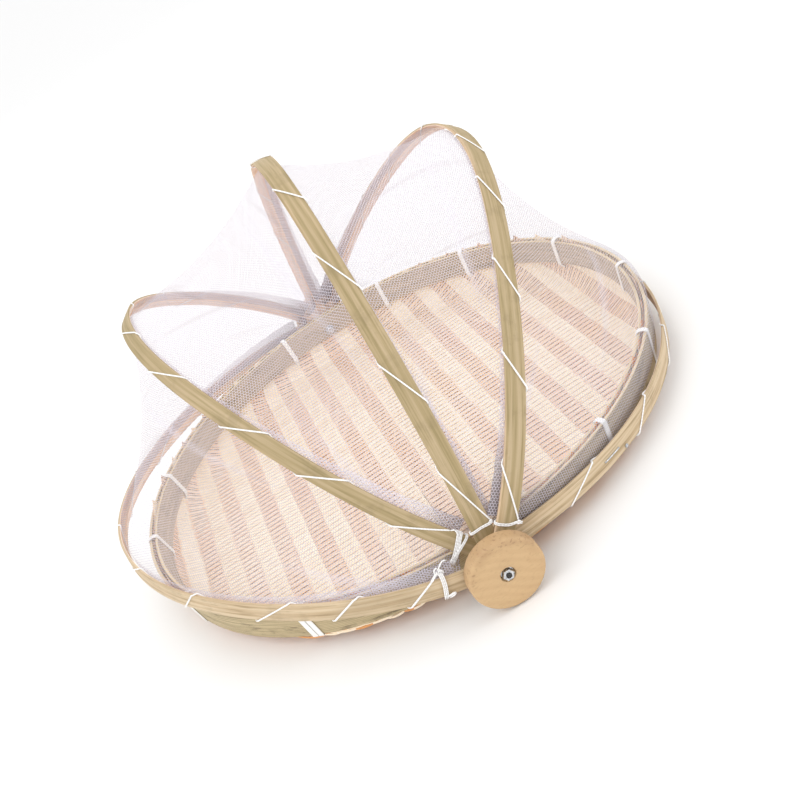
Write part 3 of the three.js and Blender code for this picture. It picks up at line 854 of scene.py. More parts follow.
@dataclass
class Rim:
    """The two bent bands of the basket and the sizes that the rest is fitted to."""

    inner_radius: float = 163.5
    top: float = 31.0
    thickness: float = 1.8
    inner_height: float = 16.0
    outer_height: float = 21.5
    flare: float = 0.12
    mat_thickness: float = 1.4
    mat_tuck: float = 0.7
    foot_radius: float = 149.5
    gap: float = 0.3
    pivot_height: float = 20.0
    segments: int = 240
    corner: float = 0.45
    sway: float = 0.18
    net_lift: float = 1.45

    def inner_face(self, z: float) -> float:
        """Gives the radius of the inner band's inner face."""
        return self.inner_radius - self.flare * (self.top - z)

    def mat_middle(self, z: float) -> float:
        """Gives the radius of the middle of the mat's wall."""
        return self.inner_face(z) + self.thickness + self.gap + self.mat_thickness / 2

    def outer_face(self, z: float) -> float:
        """Gives the radius of the outer band's outer face."""
        return self.inner_face(z) + 2 * self.thickness + 2 * self.gap + self.mat_thickness

    def beside(self, turn: np.ndarray, radius: np.ndarray | float, height: np.ndarray | float) -> np.ndarray:
        """Gives points at the right side by angle from the near pivot in degrees, radius and height."""
        a = np.radians(turn)
        return np.stack(np.broadcast_arrays(radius * np.sin(a), -radius * np.cos(a), height), axis=-1)

    def band(self, name: str, node: str, height: float, offset: float, skin: Finish, seed: float) -> None:
        """Makes one bent band.

        Args:
            name: The piece's name.
            node: The node that it stands for.
            height: The band's height.
            offset: How far its inner face is outside the inner band's inner face.
            skin: The finish of its faces.
            seed: Shifts its small bends.
        """
        section = rounded(height, self.thickness, self.corner, 3, 6)
        turn = np.linspace(0, 2 * math.pi, self.segments, endpoint=False)
        rings = np.zeros((self.segments, len(section), 3))
        for i, a in enumerate(turn):
            sway = self.sway * math.sin(5 * a + seed) * math.sin(2 * a + 2 * seed)
            for k, (up, out) in enumerate(section):
                bend = abs(up) / (height / 2) * sway * (1 if up > 0 else 0.6) - max(0.0, sway) * (up > 0)
                z = self.top - height / 2 + up + bend
                r = self.inner_face(z) + offset + out
                rings[i, k] = (r * math.cos(a), r * math.sin(a), z)
        points, faces, uv = sweep(rings, turn * self.inner_radius * MM)
        middle = height / 2 - self.corner * 0.8
        sides = [0 if abs(section[i % len(section)][0]) < middle else 1 for i in range(len(faces))]
        piece = cleaned(make_piece(name, points, faces, [skin, BAND_EDGE], uv, sides=sides))
        settle(piece, "basket", "bamboo_rim", node)

    def build(self) -> None:
        """Makes both bands."""
        self.band("inner_band", "inner_rim_band", self.inner_height, 0.0, INNER_SKIN, 1.0)
        offset = self.thickness + 2 * self.gap + self.mat_thickness
        self.band("outer_band", "outer_rim_band", self.outer_height, offset, BAND_SKIN, 2.4)


@dataclass
class WovenMat:
    """The dish of wide slats along the pivot line and thin splits across them."""

    rim: Rim
    slat_pitch: float = 11.5
    slat_gap: float = 0.35
    split_pitch: float = 2.4
    wide_split: float = 3.0
    narrow_split: float = 1.35
    split_thickness: float = 0.36
    slat_thickness: float = 0.4
    rise: float = 0.42
    spacing: float = 10.0
    drift: float = 0.16
    seed: int = 7

    def heel(self) -> tuple[float, float]:
        """Gives the width and the height of the bend between the foot and the wall."""
        rim = self.rim
        low = rim.top - rim.inner_height
        return rim.mat_middle(low) - rim.foot_radius, low - rim.mat_thickness / 2

    def strips(
        self, name: str, count: int, pitch: float, widths: tuple[float, float], thickness: float,
        rise: float, segments: int, crosswise: bool, finish: Finish,
    ) -> bpy.types.Object:
        """Grows one family of strips and presses it into the dish.

        Args:
            name: The piece's name.
            count: The number of strips.
            pitch: The distance between their middles.
            widths: The widths of even and odd strips.
            thickness: The thickness of a strip.
            rise: How far it goes over and under the other family.
            segments: The number of steps along a strip.
            crosswise: Whether the strips run along X.
            finish: Their finish.

        Returns:
            The strips as one mesh.
        """
        rim = self.rim
        heel_width, heel_height = self.heel()
        sizes = {
            "Strips": count, "Pitch": pitch * MM, "Even Width": widths[0] * MM, "Odd Width": widths[1] * MM,
            "Thickness": thickness * MM, "Rise": rise * MM, "Column": self.slat_pitch * MM,
            "Foot Radius": rim.foot_radius * MM, "Heel Width": heel_width * MM,
            "Heel Height": heel_height * MM, "Wall": (rim.inner_height - rim.mat_tuck) * MM, "Flare": rim.flare,
            "Middle Height": rim.mat_thickness / 2 * MM, "Steps": segments, "Seed": self.seed,
        }
        spacing, wander = self.spacing, self.drift

        def build(book: NodeBook, given: dict[str, Value]) -> Value:
            """Makes the nodes.

            Args:
                book: The tree's nodes.
                given: The tree's inputs by name.

            Returns:
                The geometry.
            """
            strip = book.add("GeometryNodeMeshCube", {
                "Size": (2.0, 1.0, 1.0), "Vertices X": given["Steps"], "Vertices Y": 2, "Vertices Z": 2})
            line = book.add("GeometryNodeMeshLine", {
                "Count": given["Strips"], "Offset": (0.0, spacing, 0.0)})
            copies = book.add("GeometryNodeInstanceOnPoints", {"Points": line, "Instance": strip})
            solid = book.add("GeometryNodeRealizeInstances", {"Geometry": copies})
            share, row, level = book.add("GeometryNodeInputPosition").parts()
            number = (row / spacing).nearest()
            local = row - number * spacing
            odd = number.wrap(2.0)
            chance = book.add("FunctionNodeRandomValue", {
                "ID": number, "Seed": given["Seed"]}, output=1, data_type="FLOAT")
            width = given["Even Width"] + (given["Odd Width"] - given["Even Width"]) * odd
            middle = (number - (given["Strips"] - 1.0) * 0.5) * given["Pitch"]
            heel = ((given["Heel Width"] ** 2.0 + given["Heel Height"] ** 2.0) * 0.5).root()
            arc = heel * (math.pi / 2)
            reach = given["Foot Radius"] + arc + given["Wall"]
            half = (reach * reach - middle * middle).most(0.0).root()
            u = share * half
            drift = book.add("ShaderNodeTexNoise", {
                "Vector": book.vector(u * 30.0, number * 3.7, 0.0), "Scale": 1.0, "Detail": 1.0}) - 0.5
            v = middle + local * width * (0.92 + chance * 0.12) + drift * given["Pitch"] * wander
            wave = ((u / given["Column"] + odd) * math.pi).sin()
            rosy = ((u / given["Column"]) * math.pi).sin() < 0.0 if crosswise else odd
            lift = (wave * 1.9).clamp(-1.0, 1.0) * given["Rise"]
            edge_round = 1 - (local * 2.0).size() ** 4.0 * 0.25
            h = lift + level * given["Thickness"] * edge_round
            a, b = (u, v) if crosswise else (v, u)
            s = (a * a + b * b).root().most(1e-6)
            turn = ((s - given["Foot Radius"]) / heel).clamp(0.0, math.pi / 2)
            high = (s - given["Foot Radius"] - arc).most(0.0)
            r = s.least(given["Foot Radius"]) + given["Heel Width"] * turn.sin() + given["Flare"] * high
            z = given["Heel Height"] * (1 - turn.cos()) + high
            down = given["Heel Height"] * turn.sin()
            up = given["Heel Width"] * turn.cos()
            length = (down * down + up * up).root()
            r = r - h * down / length
            z = z + h * up / length + given["Middle Height"]
            place = book.vector(a / s * r, b / s * r, z)
            marked = solid
            for label, value, kind in (("fibre", book.vector(u, v, chance), "FLOAT_VECTOR"),
                                       ("underside", level < 0.0, "FLOAT"), ("rosy", rosy, "FLOAT")):
                marked = book.add("GeometryNodeStoreNamedAttribute", {
                    "Geometry": marked, "Name": label, "Value": value}, data_type=kind, domain="POINT")
            pressed = book.add("GeometryNodeSetPosition", {"Geometry": marked, "Position": place})
            return book.add("GeometryNodeSetShadeSmooth", {"Geometry": pressed, "Shade Smooth": False})

        return grow(name, sizes, build, finish)

    def build(self) -> None:
        """Makes the slats and the splits."""
        rim = self.rim
        heel = math.hypot(*self.heel()) / math.sqrt(2)
        reach = rim.foot_radius + heel * math.pi / 2 + rim.inner_height - rim.mat_tuck
        slat = self.slat_pitch - self.slat_gap
        slats = self.strips(
            "mat_slats", 2 * int(reach / self.slat_pitch), self.slat_pitch, (slat, slat),
            self.slat_thickness, 0.0, 90, False, SLATS)
        settle(slats, "basket", "woven_bamboo", "woven_mat")
        splits = self.strips(
            "mat_splits", 4 * int((reach / self.split_pitch - 1) / 2), self.split_pitch,
            (self.wide_split, self.narrow_split), self.split_thickness, self.rise, 160, True, SPLITS)
        settle(splits, "basket", "woven_bamboo")


@dataclass
class RimFringe:
    """The ends of the mat's strips that hang out below the outer band at the near left."""

    rim: Rim
    first: float = 228.0
    last: float = 258.0
    count: int = 34
    width: float = 1.5
    thickness: float = 0.35
    lean: float = 0.2
    under: float = 0.6
    arcs: tuple[float, float] = (4.0, 10.0)
    depths: tuple[float, float] = (0.4, 2.0)
    set_back: tuple[float, float] = (0.6, 2.4)
    tilt: float = 0.6
    orange_share: float = 0.45
    fibre_tone: float = 0.9
    steps: int = 12
    seed: int = 4

    def build(self) -> None:
        """Makes the strips as one piece."""
        rim, rng = self.rim, np.random.default_rng(self.seed)
        base = rim.top - rim.outer_height
        lean, thick = self.lean, self.thickness
        parts, orange = [], []
        for _ in range(self.count):
            length = rng.uniform(*self.arcs)
            start = rng.uniform(self.first, self.last - length)
            deep, back = rng.uniform(*self.depths), rng.uniform(*self.set_back)
            tilt, tone = rng.uniform(-self.tilt, self.tilt), float(rng.random() < self.orange_share)
            rings = []
            for share in np.linspace(0, 1, self.steps + 1):
                a = math.radians(start + length * share)
                hang = math.sin(math.pi * share)
                z = base + self.under - (deep + self.under) * hang + tilt * (share - 0.5)
                r = rim.outer_face(base) - back - 0.4 * (1 - hang)
                slim = self.width * (0.35 + 0.65 * hang) / 2
                section = [(-slim, 0.0), (slim, lean), (slim, lean + thick), (-slim, thick)]
                rings.append([
                    ((r + out) * math.cos(a), (r + out) * math.sin(a), z + up) for up, out in section])
            parts.append(sweep(np.array(rings), closed=False))
            orange += [tone] * len(parts[-1][0])
        points, faces, _ = joined(parts)
        piece = make_piece("rim_fringe", points, faces, [SPLITS], smooth=False)
        store(piece, "underside", np.array(orange))
        places = points * MM
        places[:, 2] = self.fibre_tone
        store(piece, "fibre", places)
        settle(cleaned(piece), "basket", "woven_bamboo")


@dataclass
class RimTies:
    """The flat white straps that hold the bands and the mat together."""

    rim: Rim
    width: float = 3.2
    thickness: float = 0.6
    corner: float = 0.2
    crown: float = 0.9
    sink: float = 0.6
    angles: tuple[float, ...] = (
        20.5, 49.5, 73.5, 102.0, 127.0, 152.5, 175.5, 203.0, 234.5, 299.5, 325.0, 353.5)
    doubled: float = 234.5
    apart: float = 1.9

    def names(self) -> list[str]:
        """Gives the nodes that the straps stand for."""
        found = []
        for i, angle in enumerate(self.angles):
            stem = f"rim_tie_{i + 1:02d}"
            found += [stem + "_a", stem + "_b"] if angle == self.doubled else [stem]
        return found

    def loop(self) -> np.ndarray:
        """Gives the strap's middle line round the section of the rim, as (radius, height).

        Returns:
            The points of the closed line.
        """
        rim = self.rim
        low, base = rim.top - rim.inner_height, rim.top - rim.outer_height
        off = SEAT + self.thickness / 2
        corners = np.array([
            (rim.inner_face(low), low), (rim.inner_face(rim.top), rim.top),
            (rim.outer_face(rim.top), rim.top), (rim.outer_face(base), base),
            (rim.outer_face(base) - rim.thickness, base)])
        middle = (corners[1] + corners[2]) / 2
        half, rise = (corners[2][0] - corners[1][0]) / 2 + off, self.crown + self.sink + off
        arch = [middle + np.array([half * math.cos(a), rise * math.sin(a) - self.sink])
                for a in np.linspace(math.pi, 0, 11)]
        line = []
        for i, corner in enumerate(corners):
            if i in (1, 2):
                line += arch if i == 1 else []
                continue
            before = corners[i - 1] - corner
            after = corners[(i + 1) % len(corners)] - corner
            first, last = math.atan2(-before[0], before[1]), math.atan2(after[0], -after[1])
            spread = (last - first) % (2 * math.pi) - 2 * math.pi
            if spread < -math.pi:
                spread += 2 * math.pi
            line += [corner + off * np.array([math.cos(a), math.sin(a)])
                     for a in (first + spread * k / 4 for k in range(5))]
        return np.array(line)

    def build(self) -> None:
        """Makes one strap and sets a copy at each place round the rim."""
        line = self.loop()
        count = len(line)
        section = rounded(self.width, self.thickness, self.corner, 2, 2)
        rings = np.zeros((count, len(section), 3))
        for i, point in enumerate(line):
            along = line[(i + 1) % count] - line[i - 1]
            along = along / np.linalg.norm(along)
            out = np.array([-along[1], along[0]])
            for k, (side, thick) in enumerate(section):
                p = point + out * (thick - self.thickness / 2)
                rings[i, k] = (p[0], side, p[1])
        points, faces, uv = sweep(rings, travelled(line) * MM)
        strap = cleaned(make_piece("one_strap", points, faces, [STRAP], uv))
        places = [(math.radians(angle), across * MM, 0.0) for angle in self.angles
                  for across in ((-self.apart, self.apart) if angle == self.doubled else (0.0,))]
        holder = bpy.data.meshes.new("strap_places")
        holder.from_pydata(places, [], [])
        spots = link("strap_places", holder)

        def build(book: NodeBook, given: dict[str, Value]) -> Value:
            """Makes the nodes.

            Args:
                book: The tree's nodes.
                given: The tree's inputs by name.

            Returns:
                The geometry.
            """
            source = book.add("GeometryNodeObjectInfo", {"Object": strap}, output="Geometry")
            marks = book.add("GeometryNodeObjectInfo", {"Object": spots}, output="Geometry")
            angle, across, _ = book.add("GeometryNodeInputPosition").parts()
            placed = book.add("GeometryNodeStoreNamedAttribute", {
                "Geometry": marks, "Name": "turn", "Value": book.vector(0.0, 0.0, angle)},
                data_type="FLOAT_VECTOR", domain="POINT")
            aside = book.vector(-1 * across * angle.sin(), across * angle.cos(), 0.0)
            moved = book.add("GeometryNodeSetPosition", {"Geometry": placed, "Position": aside})
            turn = book.add("GeometryNodeInputNamedAttribute", {"Name": "turn"}, data_type="FLOAT_VECTOR")
            copies = book.add("GeometryNodeInstanceOnPoints", {
                "Points": moved, "Instance": source, "Rotation": turn, "Scale": given["Strap Size"]})
            return book.add("GeometryNodeRealizeInstances", {"Geometry": copies})

        straps = grow("rim_straps", {"Strap Size": 1.0}, build, STRAP)
        for helper in (strap, spots):
            bpy.data.objects.remove(helper)
        settle(straps, "basket", "white_strap", *self.names())


@dataclass(frozen=True)
class Hoop:
    """One flat bamboo hoop of the tent, in its own plane through the pivot line."""

    name: str
    body: str
    angle: float
    layer: int
    flat_share: float
    crown: float
    rim: Rim
    width: float = 10.7
    skin: BambooFinish = SKIN
    thickness: float = 1.6
    lap: float = 8.0
    stand_off: float = 0.4
    nest: float = 2.9
    corner: float = 0.32
    sway: float = 0.22
    ripple: float = 0.12
    swell: float = 0.06
    crowning: float = 0.1

    @property
    def seat(self) -> float:
        """The radius of the hoop's inner face at the pivots."""
        return self.rim.outer_face(self.rim.top) + self.stand_off + self.layer * self.nest

    def radius(self, turn: np.ndarray) -> np.ndarray:
        """Gives the radius of the inner face at angles from the near pivot, in radians."""
        base = self.rim.outer_face(self.rim.top) + self.stand_off
        return self.seat - base * self.flat_share * np.sin(2 * turn) ** 2 + self.crown * np.sin(turn) ** 2

    def world(self, reach: np.ndarray, along: np.ndarray, across: np.ndarray) -> np.ndarray:
        """Turns points of the hoop's plane into the basket's frame.

        Args:
            reach: Distances from the pivot line in the hoop's plane.
            along: Distances along the pivot line.
            across: Distances across the strip, towards larger angles.

        Returns:
            The points in millimetres.
        """
        a = math.radians(self.angle)
        reach, along, across = np.broadcast_arrays(reach, along, across)
        x = -reach * math.cos(a) + across * math.sin(a)
        z = self.rim.pivot_height + reach * math.sin(a) + across * math.cos(a)
        return np.stack([x, along, z], axis=-1)

    def at(self, turn: np.ndarray, out: np.ndarray | float, across: np.ndarray | float) -> np.ndarray:
        """Gives points by angle in degrees, distance out of the inner face and distance across."""
        a = np.radians(np.asarray(turn, float))
        r = self.radius(a) + out
        return self.world(r * np.sin(a), -r * np.cos(a), across)

    def line(self, places: Iterable[tuple[float, float, float]], shift: float = 0.0) -> np.ndarray:
        """Gives a line of points from places as (angle, distance out, distance across)."""
        turns, outs, sides = (np.array(c) for c in zip(*places))
        return self.at(turns + shift, outs, sides)

    def strip(self, steps: int = 220, end_steps: int = 10) -> None:
        """Makes the bent strip with its rounded ends.

        Args:
            steps: The number of steps between the pivots.
            end_steps: The number of steps round an end.
        """
        section = rounded(self.width, self.thickness, self.corner, 3, 5)
        half_thick = self.thickness / 2
        lap = self.lap * np.sin(np.linspace(math.pi / 2, 0, end_steps, endpoint=False))
        turn = np.radians(np.linspace(0, 180, steps))
        stations = [(-d, -1, 0.0) for d in lap]
        stations += [(0.0, 0, t) for t in turn] + [(-d, 1, math.pi) for d in lap[::-1]]
        rings = []
        phase = self.angle * 0.37
        for back, end, t in stations:
            high = math.sin(t)
            sway = self.sway * math.sin(7 * t + phase) * high
            sway += self.ripple * math.sin(17 * t + 2 * phase) * high
            thick = 1 + self.swell * math.sin(11 * t + phase) * high
            narrow = 1.0
            if end and -back > self.width * 0.2:
                narrow = max(0.3, math.sqrt(max(0.0, 1 - (-back / self.lap) ** 2)))
            row = []
            for side, out in section:
                r = float(self.radius(np.array(t))) + out * (thick if out > half_thick else 1.0)
                lower = self.crowning * (2 * side / self.width) ** 2 * (out > half_thick)
                if end:
                    reach, y = back, end * r
                else:
                    reach, y = r * high - lower * high, -r * math.cos(t) + lower * math.cos(t)
                row.append(self.world(reach, y, side * narrow + sway * (0.5 if side > 0 else -0.5)))
            rings.append(row)
        rings = np.array(rings)
        lengths = travelled(rings.mean(axis=1)) * MM + self.angle * 0.013
        points, faces, uv = sweep(rings, lengths, closed=False)
        sides = []
        for i in range(len(faces)):
            out, after = section[i % len(section)][1], section[(i + 1) % len(section)][1]
            skin = out + after > self.thickness * 0.6 and i < len(faces) - 2
            sides.append((Side.SKIN if skin else Side.FLESH).value)
        piece = cleaned(make_piece(self.name + "_strip", points, faces, [self.skin, FLESH], uv, sides=sides))
        settle(piece, self.body, "bamboo_hoop", self.name)


@dataclass
class Lashing:
    """The cord that winds round a hoop and sews the net to it."""

    hoop: Hoop
    strand: float = 0.56
    strand_shift: float = 0.11
    turn_span: float = 0.35

    def path(self) -> list[tuple[float, float, float]]:
        """Gives the places that the cord passes, as (angle, distance out, distance across).

        Returns:
            The places from the near pivot to the far one.
        """
        hoop, step = self.hoop, self.turn_span
        off = SEAT + self.strand / 2
        outer, inner = hoop.thickness + off, -off
        edge = hoop.width / 2 + off
        near = hoop.width / 2 + SEAT * 1.5
        lift = 2 * SEAT + hoop.thickness / 8
        shares = np.linspace(0, 1, 9)
        places: list[tuple[float, float, float]] = []
        crossings = CROSSINGS[hoop.name]
        for i, (start, end) in enumerate(crossings):
            places += [(start + (end - start) * share, outer, near * (1 - 2 * share)) for share in shares]
            if i < len(crossings) - 1:
                after = crossings[i + 1][0]
                places += [(end + step, outer - lift, -edge), (end + 2 * step, inner + lift, -edge)]
                places += [(end + 3 * step + (after - end - 6 * step) * share, inner, -near * (1 - 2 * share))
                           for share in shares]
                places += [(after - 2 * step, inner + lift, edge), (after - step, outer - lift, edge)]
        return places

    def build(self) -> None:
        """Makes the cord's two strands side by side."""
        hoop = self.hoop
        strands = [hoop.line(self.path(), shift) for shift in (-self.strand_shift, self.strand_shift)]
        cord = cord_piece(hoop.name + "_cord", strands, self.strand)
        settle(cord, hoop.body, "white_cord", hoop.name + "_lashing")


def smooth_line(points: np.ndarray, per_span: int = 3) -> np.ndarray:
    """Rounds a line of points with a Catmull-Rom curve.

    Args:
        points: The line's points.
        per_span: The number of steps between two of them.

    Returns:
        The points of the rounded line.
    """
    padded = np.vstack([2 * points[0] - points[1], points, 2 * points[-1] - points[-2]])
    line = []
    for i in range(1, len(padded) - 2):
        a, b, c, d = padded[i - 1:i + 3]
        for t in np.arange(per_span) / per_span:
            line.append(0.5 * (2 * b + (c - a) * t + (2 * a - 5 * b + 4 * c - d) * t ** 2
                               + (3 * b - a - 3 * c + d) * t ** 3))
    line.append(points[-1])
    return np.array(line)


def cord_piece(
    name: str, lines: Iterable[np.ndarray], diameter: float, finish: Finish = CORD, around: int = 8,
) -> bpy.types.Object:
    """Makes cords or wires of one thickness along lines of points, in millimetres.

    Args:
        name: The piece's name.
        lines: The line of points of each cord, in millimetres.
        diameter: The thickness of a cord.
        finish: The finish.
        around: The number of steps round a cord.

    Returns:
        The cords as one piece.
    """
    girth = math.pi * diameter * MM
    turn = np.linspace(0, 2 * math.pi, around, endpoint=False)
    parts = []
    for line in lines:
        line = smooth_line(np.asarray(line, float))
        rings, side = [], np.array([0.31, 0.87, 0.38])
        for i, point in enumerate(line):
            along = line[min(i + 1, len(line) - 1)] - line[max(i - 1, 0)]
            along = along / np.linalg.norm(along)
            side = side - along * float(side @ along)
            side = side / np.linalg.norm(side)
            other = np.cross(along, side)
            radius = diameter / 2 * (0.55 if i in (0, len(line) - 1) else 1.0)
            rings.append(point + radius * (np.outer(np.cos(turn), side) + np.outer(np.sin(turn), other)))
        points, faces, uv = sweep(np.array(rings), travelled(line) * MM, closed=False)
        parts.append((points, faces, [[(a, b / girth) for a, b in face] for face in uv]))
    points, faces, uv = joined(parts)
    return cleaned(make_piece(name, points, faces, [finish], uv))


@dataclass
class NetPanel:
    """The net between two neighbouring edges of the tent."""

    name: str
    node: str
    first: Callable[[np.ndarray], np.ndarray]
    second: Callable[[np.ndarray], np.ndarray]
    bodies: tuple[str, str]
    rests_on: tuple[str, str]
    pivot_height: float = 20.0
    sag: float = 8.0
    start: float = 6.0
    along: int = 110
    across: int = 30
    spread: float = 50.0
    hug: float = 4.0
    pleat: float = 2.4
    folds: int = 7
    # How far, in degrees from the ends, the painted shade in the net's holes reaches
    gather_shade: float = 3.5
    fullness: float = 0.12

    def grid(self, turn: np.ndarray, share: np.ndarray) -> np.ndarray:
        """Gives the panel's points.

        Args:
            turn: Angles from the near pivot, in degrees.
            share: Shares of the way from the first edge to the second.

        Returns:
            The points in millimetres, one row for each angle.
        """
        first, second = self.first(turn), self.second(turn)
        span = np.sin(np.radians(turn))
        ease = np.clip(span / math.sin(math.radians(self.spread)), 0, 1)
        ease = ease * ease * (3 - 2 * ease)
        power = self.hug + (1 - self.hug) * ease
        grid = first[:, None] + (second - first)[:, None] * share[None, :, None]
        first_in = (np.abs(first[:, 1]) < np.abs(second[:, 1]))[:, None]
        hugged = np.where(first_in, share[None] ** power[:, None], 1 - (1 - share[None]) ** power[:, None])
        grid[:, :, 1] = first[:, None, 1] + (second - first)[:, None, 1] * hugged
        inwards = np.stack([-grid[..., 0], np.zeros(grid.shape[:2]), self.pivot_height - grid[..., 2]], axis=-1)
        inwards /= np.linalg.norm(inwards, axis=-1, keepdims=True)
        bow = 4 * share * (1 - share)
        grid = grid + inwards * (self.sag * span[:, None] * bow[None])[..., None]
        pleat = np.abs(np.sin(share[None] * math.pi * self.folds + turn[:, None] * 0.05)) * bow[None]
        grid[:, :, 1] -= np.sign(grid[:, :, 1]) * pleat * self.pleat * (1 - ease[:, None]) ** 2
        return grid

    def build(self) -> None:
        """Makes the panel and blends it across its joint."""
        turn = np.linspace(self.start, 180 - self.start, self.along + 1)
        share = np.linspace(0, 1, self.across + 1)
        grid = self.grid(turn, share)
        along = np.linalg.norm(np.diff(grid, axis=0), axis=2)
        across = np.linalg.norm(np.diff(grid, axis=1), axis=2)
        lengths = np.concatenate([[0.0], np.cumsum(along.mean(axis=1))]) * MM
        widths = across.sum(axis=1) * MM
        full = widths + (widths.max() - widths) * self.fullness
        flat = flat_grid((share[None] - 0.5) * full[:, None], lengths[:, None])
        from_end = np.minimum(turn, 180 - turn)[:, None] + 4 * share[None]
        # The piece carries how much painted shade fills its holes, which is strongest at the pivots
        piece = net_piece(self.name, [(grid, flat)], np.exp(-((from_end - self.start) / self.gather_shade) ** 2))
        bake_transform(piece)
        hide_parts(self.node)


@dataclass
class NetHem:
    """The doubled edge of the net that is sewn inside a hoop and shows beside it near the pivots."""

    hoop: Hoop
    side: int = 1
    layers: int = 2
    start: float = 7.0
    steps: int = 120
    rows: int = 5
    least: float = 0.5
    most: float = 3.4
    reach: float = 26.0
    # How strong the painted shade in the hem's holes is at the pivots, and how far it reaches
    gather_shade: float = 0.3
    shade_reach: float = 12.0
    inset: float = 1.25
    apart: float = 0.3
    slack: float = 1.04

    def build(self) -> None:
        """Makes the layers as one piece of net."""
        hoop, stride = self.hoop, self.rows + 1
        turn = np.linspace(self.start, 180 - self.start, self.steps + 1)
        share = np.linspace(0, 1, stride)
        from_end = np.minimum(turn, 180 - turn)
        wide = hoop.width / 2 + self.least + (self.most - self.least) * np.exp(-(from_end / self.reach) ** 2)
        wide = wide + 0.25 * np.sin(turn * 1.7) + 0.15 * np.sin(turn * 4.1 + 1)
        across = self.side * (0.5 + (wide[:, None] - 0.5) * share[None])
        layers, flat_length = [], 0.0
        for layer in range(self.layers):
            ripple = 0.2 * np.sin(turn[:, None] * 3.1 + layer * 2.0) * share[None] ** 2
            out = -(self.inset + self.apart * layer) + ripple
            grid = hoop.at(np.repeat(turn[:, None], stride, axis=1), out, across)
            lengths = travelled(grid[:, 0]) * MM * self.slack + 0.0004 * layer
            flat_length = float(lengths[-1])
            layers.append((grid, flat_grid((across + 0.5 * layer) * MM, lengths[:, None])))
        # Painted shade in the hem's holes near the pivots, where it is gathered
        shade_share = self.gather_shade * np.exp(-((from_end - self.start) / self.shade_reach) ** 2)
        piece = net_piece(hoop.name + "_hem", layers, np.tile(np.repeat(shade_share, stride), self.layers))
        settle(piece, hoop.body, "white_net")


@dataclass
class NetSkirt:
    """The edge of the net that runs over the right rim and down between it and the fixed hoop."""

    rim: Rim
    start: float = 6.0
    steps: int = 120
    height: float = 13.8
    proud: float = 0.85

    def build(self) -> None:
        """Makes the skirt, which stays on the basket, over the straps and behind the fixed hoop."""
        rim, top = self.rim, self.rim.outer_face(self.rim.top)
        section = [(top + rim.net_lift, rim.top + rim.net_lift), (top + 1.0, rim.top + 0.7)]
        section += [(rim.outer_face(z), z) for z in rim.top - np.linspace(1.0, self.height, 6)]
        radius, height = np.array(section).T
        turn = np.linspace(self.start, 180 - self.start, self.steps + 1)
        a = np.radians(turn)[:, None]
        room = 0.25 + 1.6 * np.sin(a) ** 2 + 2.0 * np.sin(2 * a) ** 2  # to the fixed hoop
        grid = rim.beside(turn[:, None], radius + np.minimum(self.proud, room) * (height < rim.top), height)
        down = travelled(np.array(section)) * MM
        along = np.radians(turn - self.start) * top * MM
        # Painted shade in the skirt's holes stands for the shaded band behind it. It is strongest at the near
        # pivot and fades towards the far side.
        shade_share = 0.28 * np.clip((130 - turn) / 60, 0.1, 1) + 0.3 * np.exp(-((turn - self.start) / 9.0) ** 2)
        layer = (grid, flat_grid(down[None], along[:, None]))
        piece = net_piece("net_skirt", [layer], np.repeat(shade_share, len(section)), turned=True)
        settle(piece, "basket", "white_net")


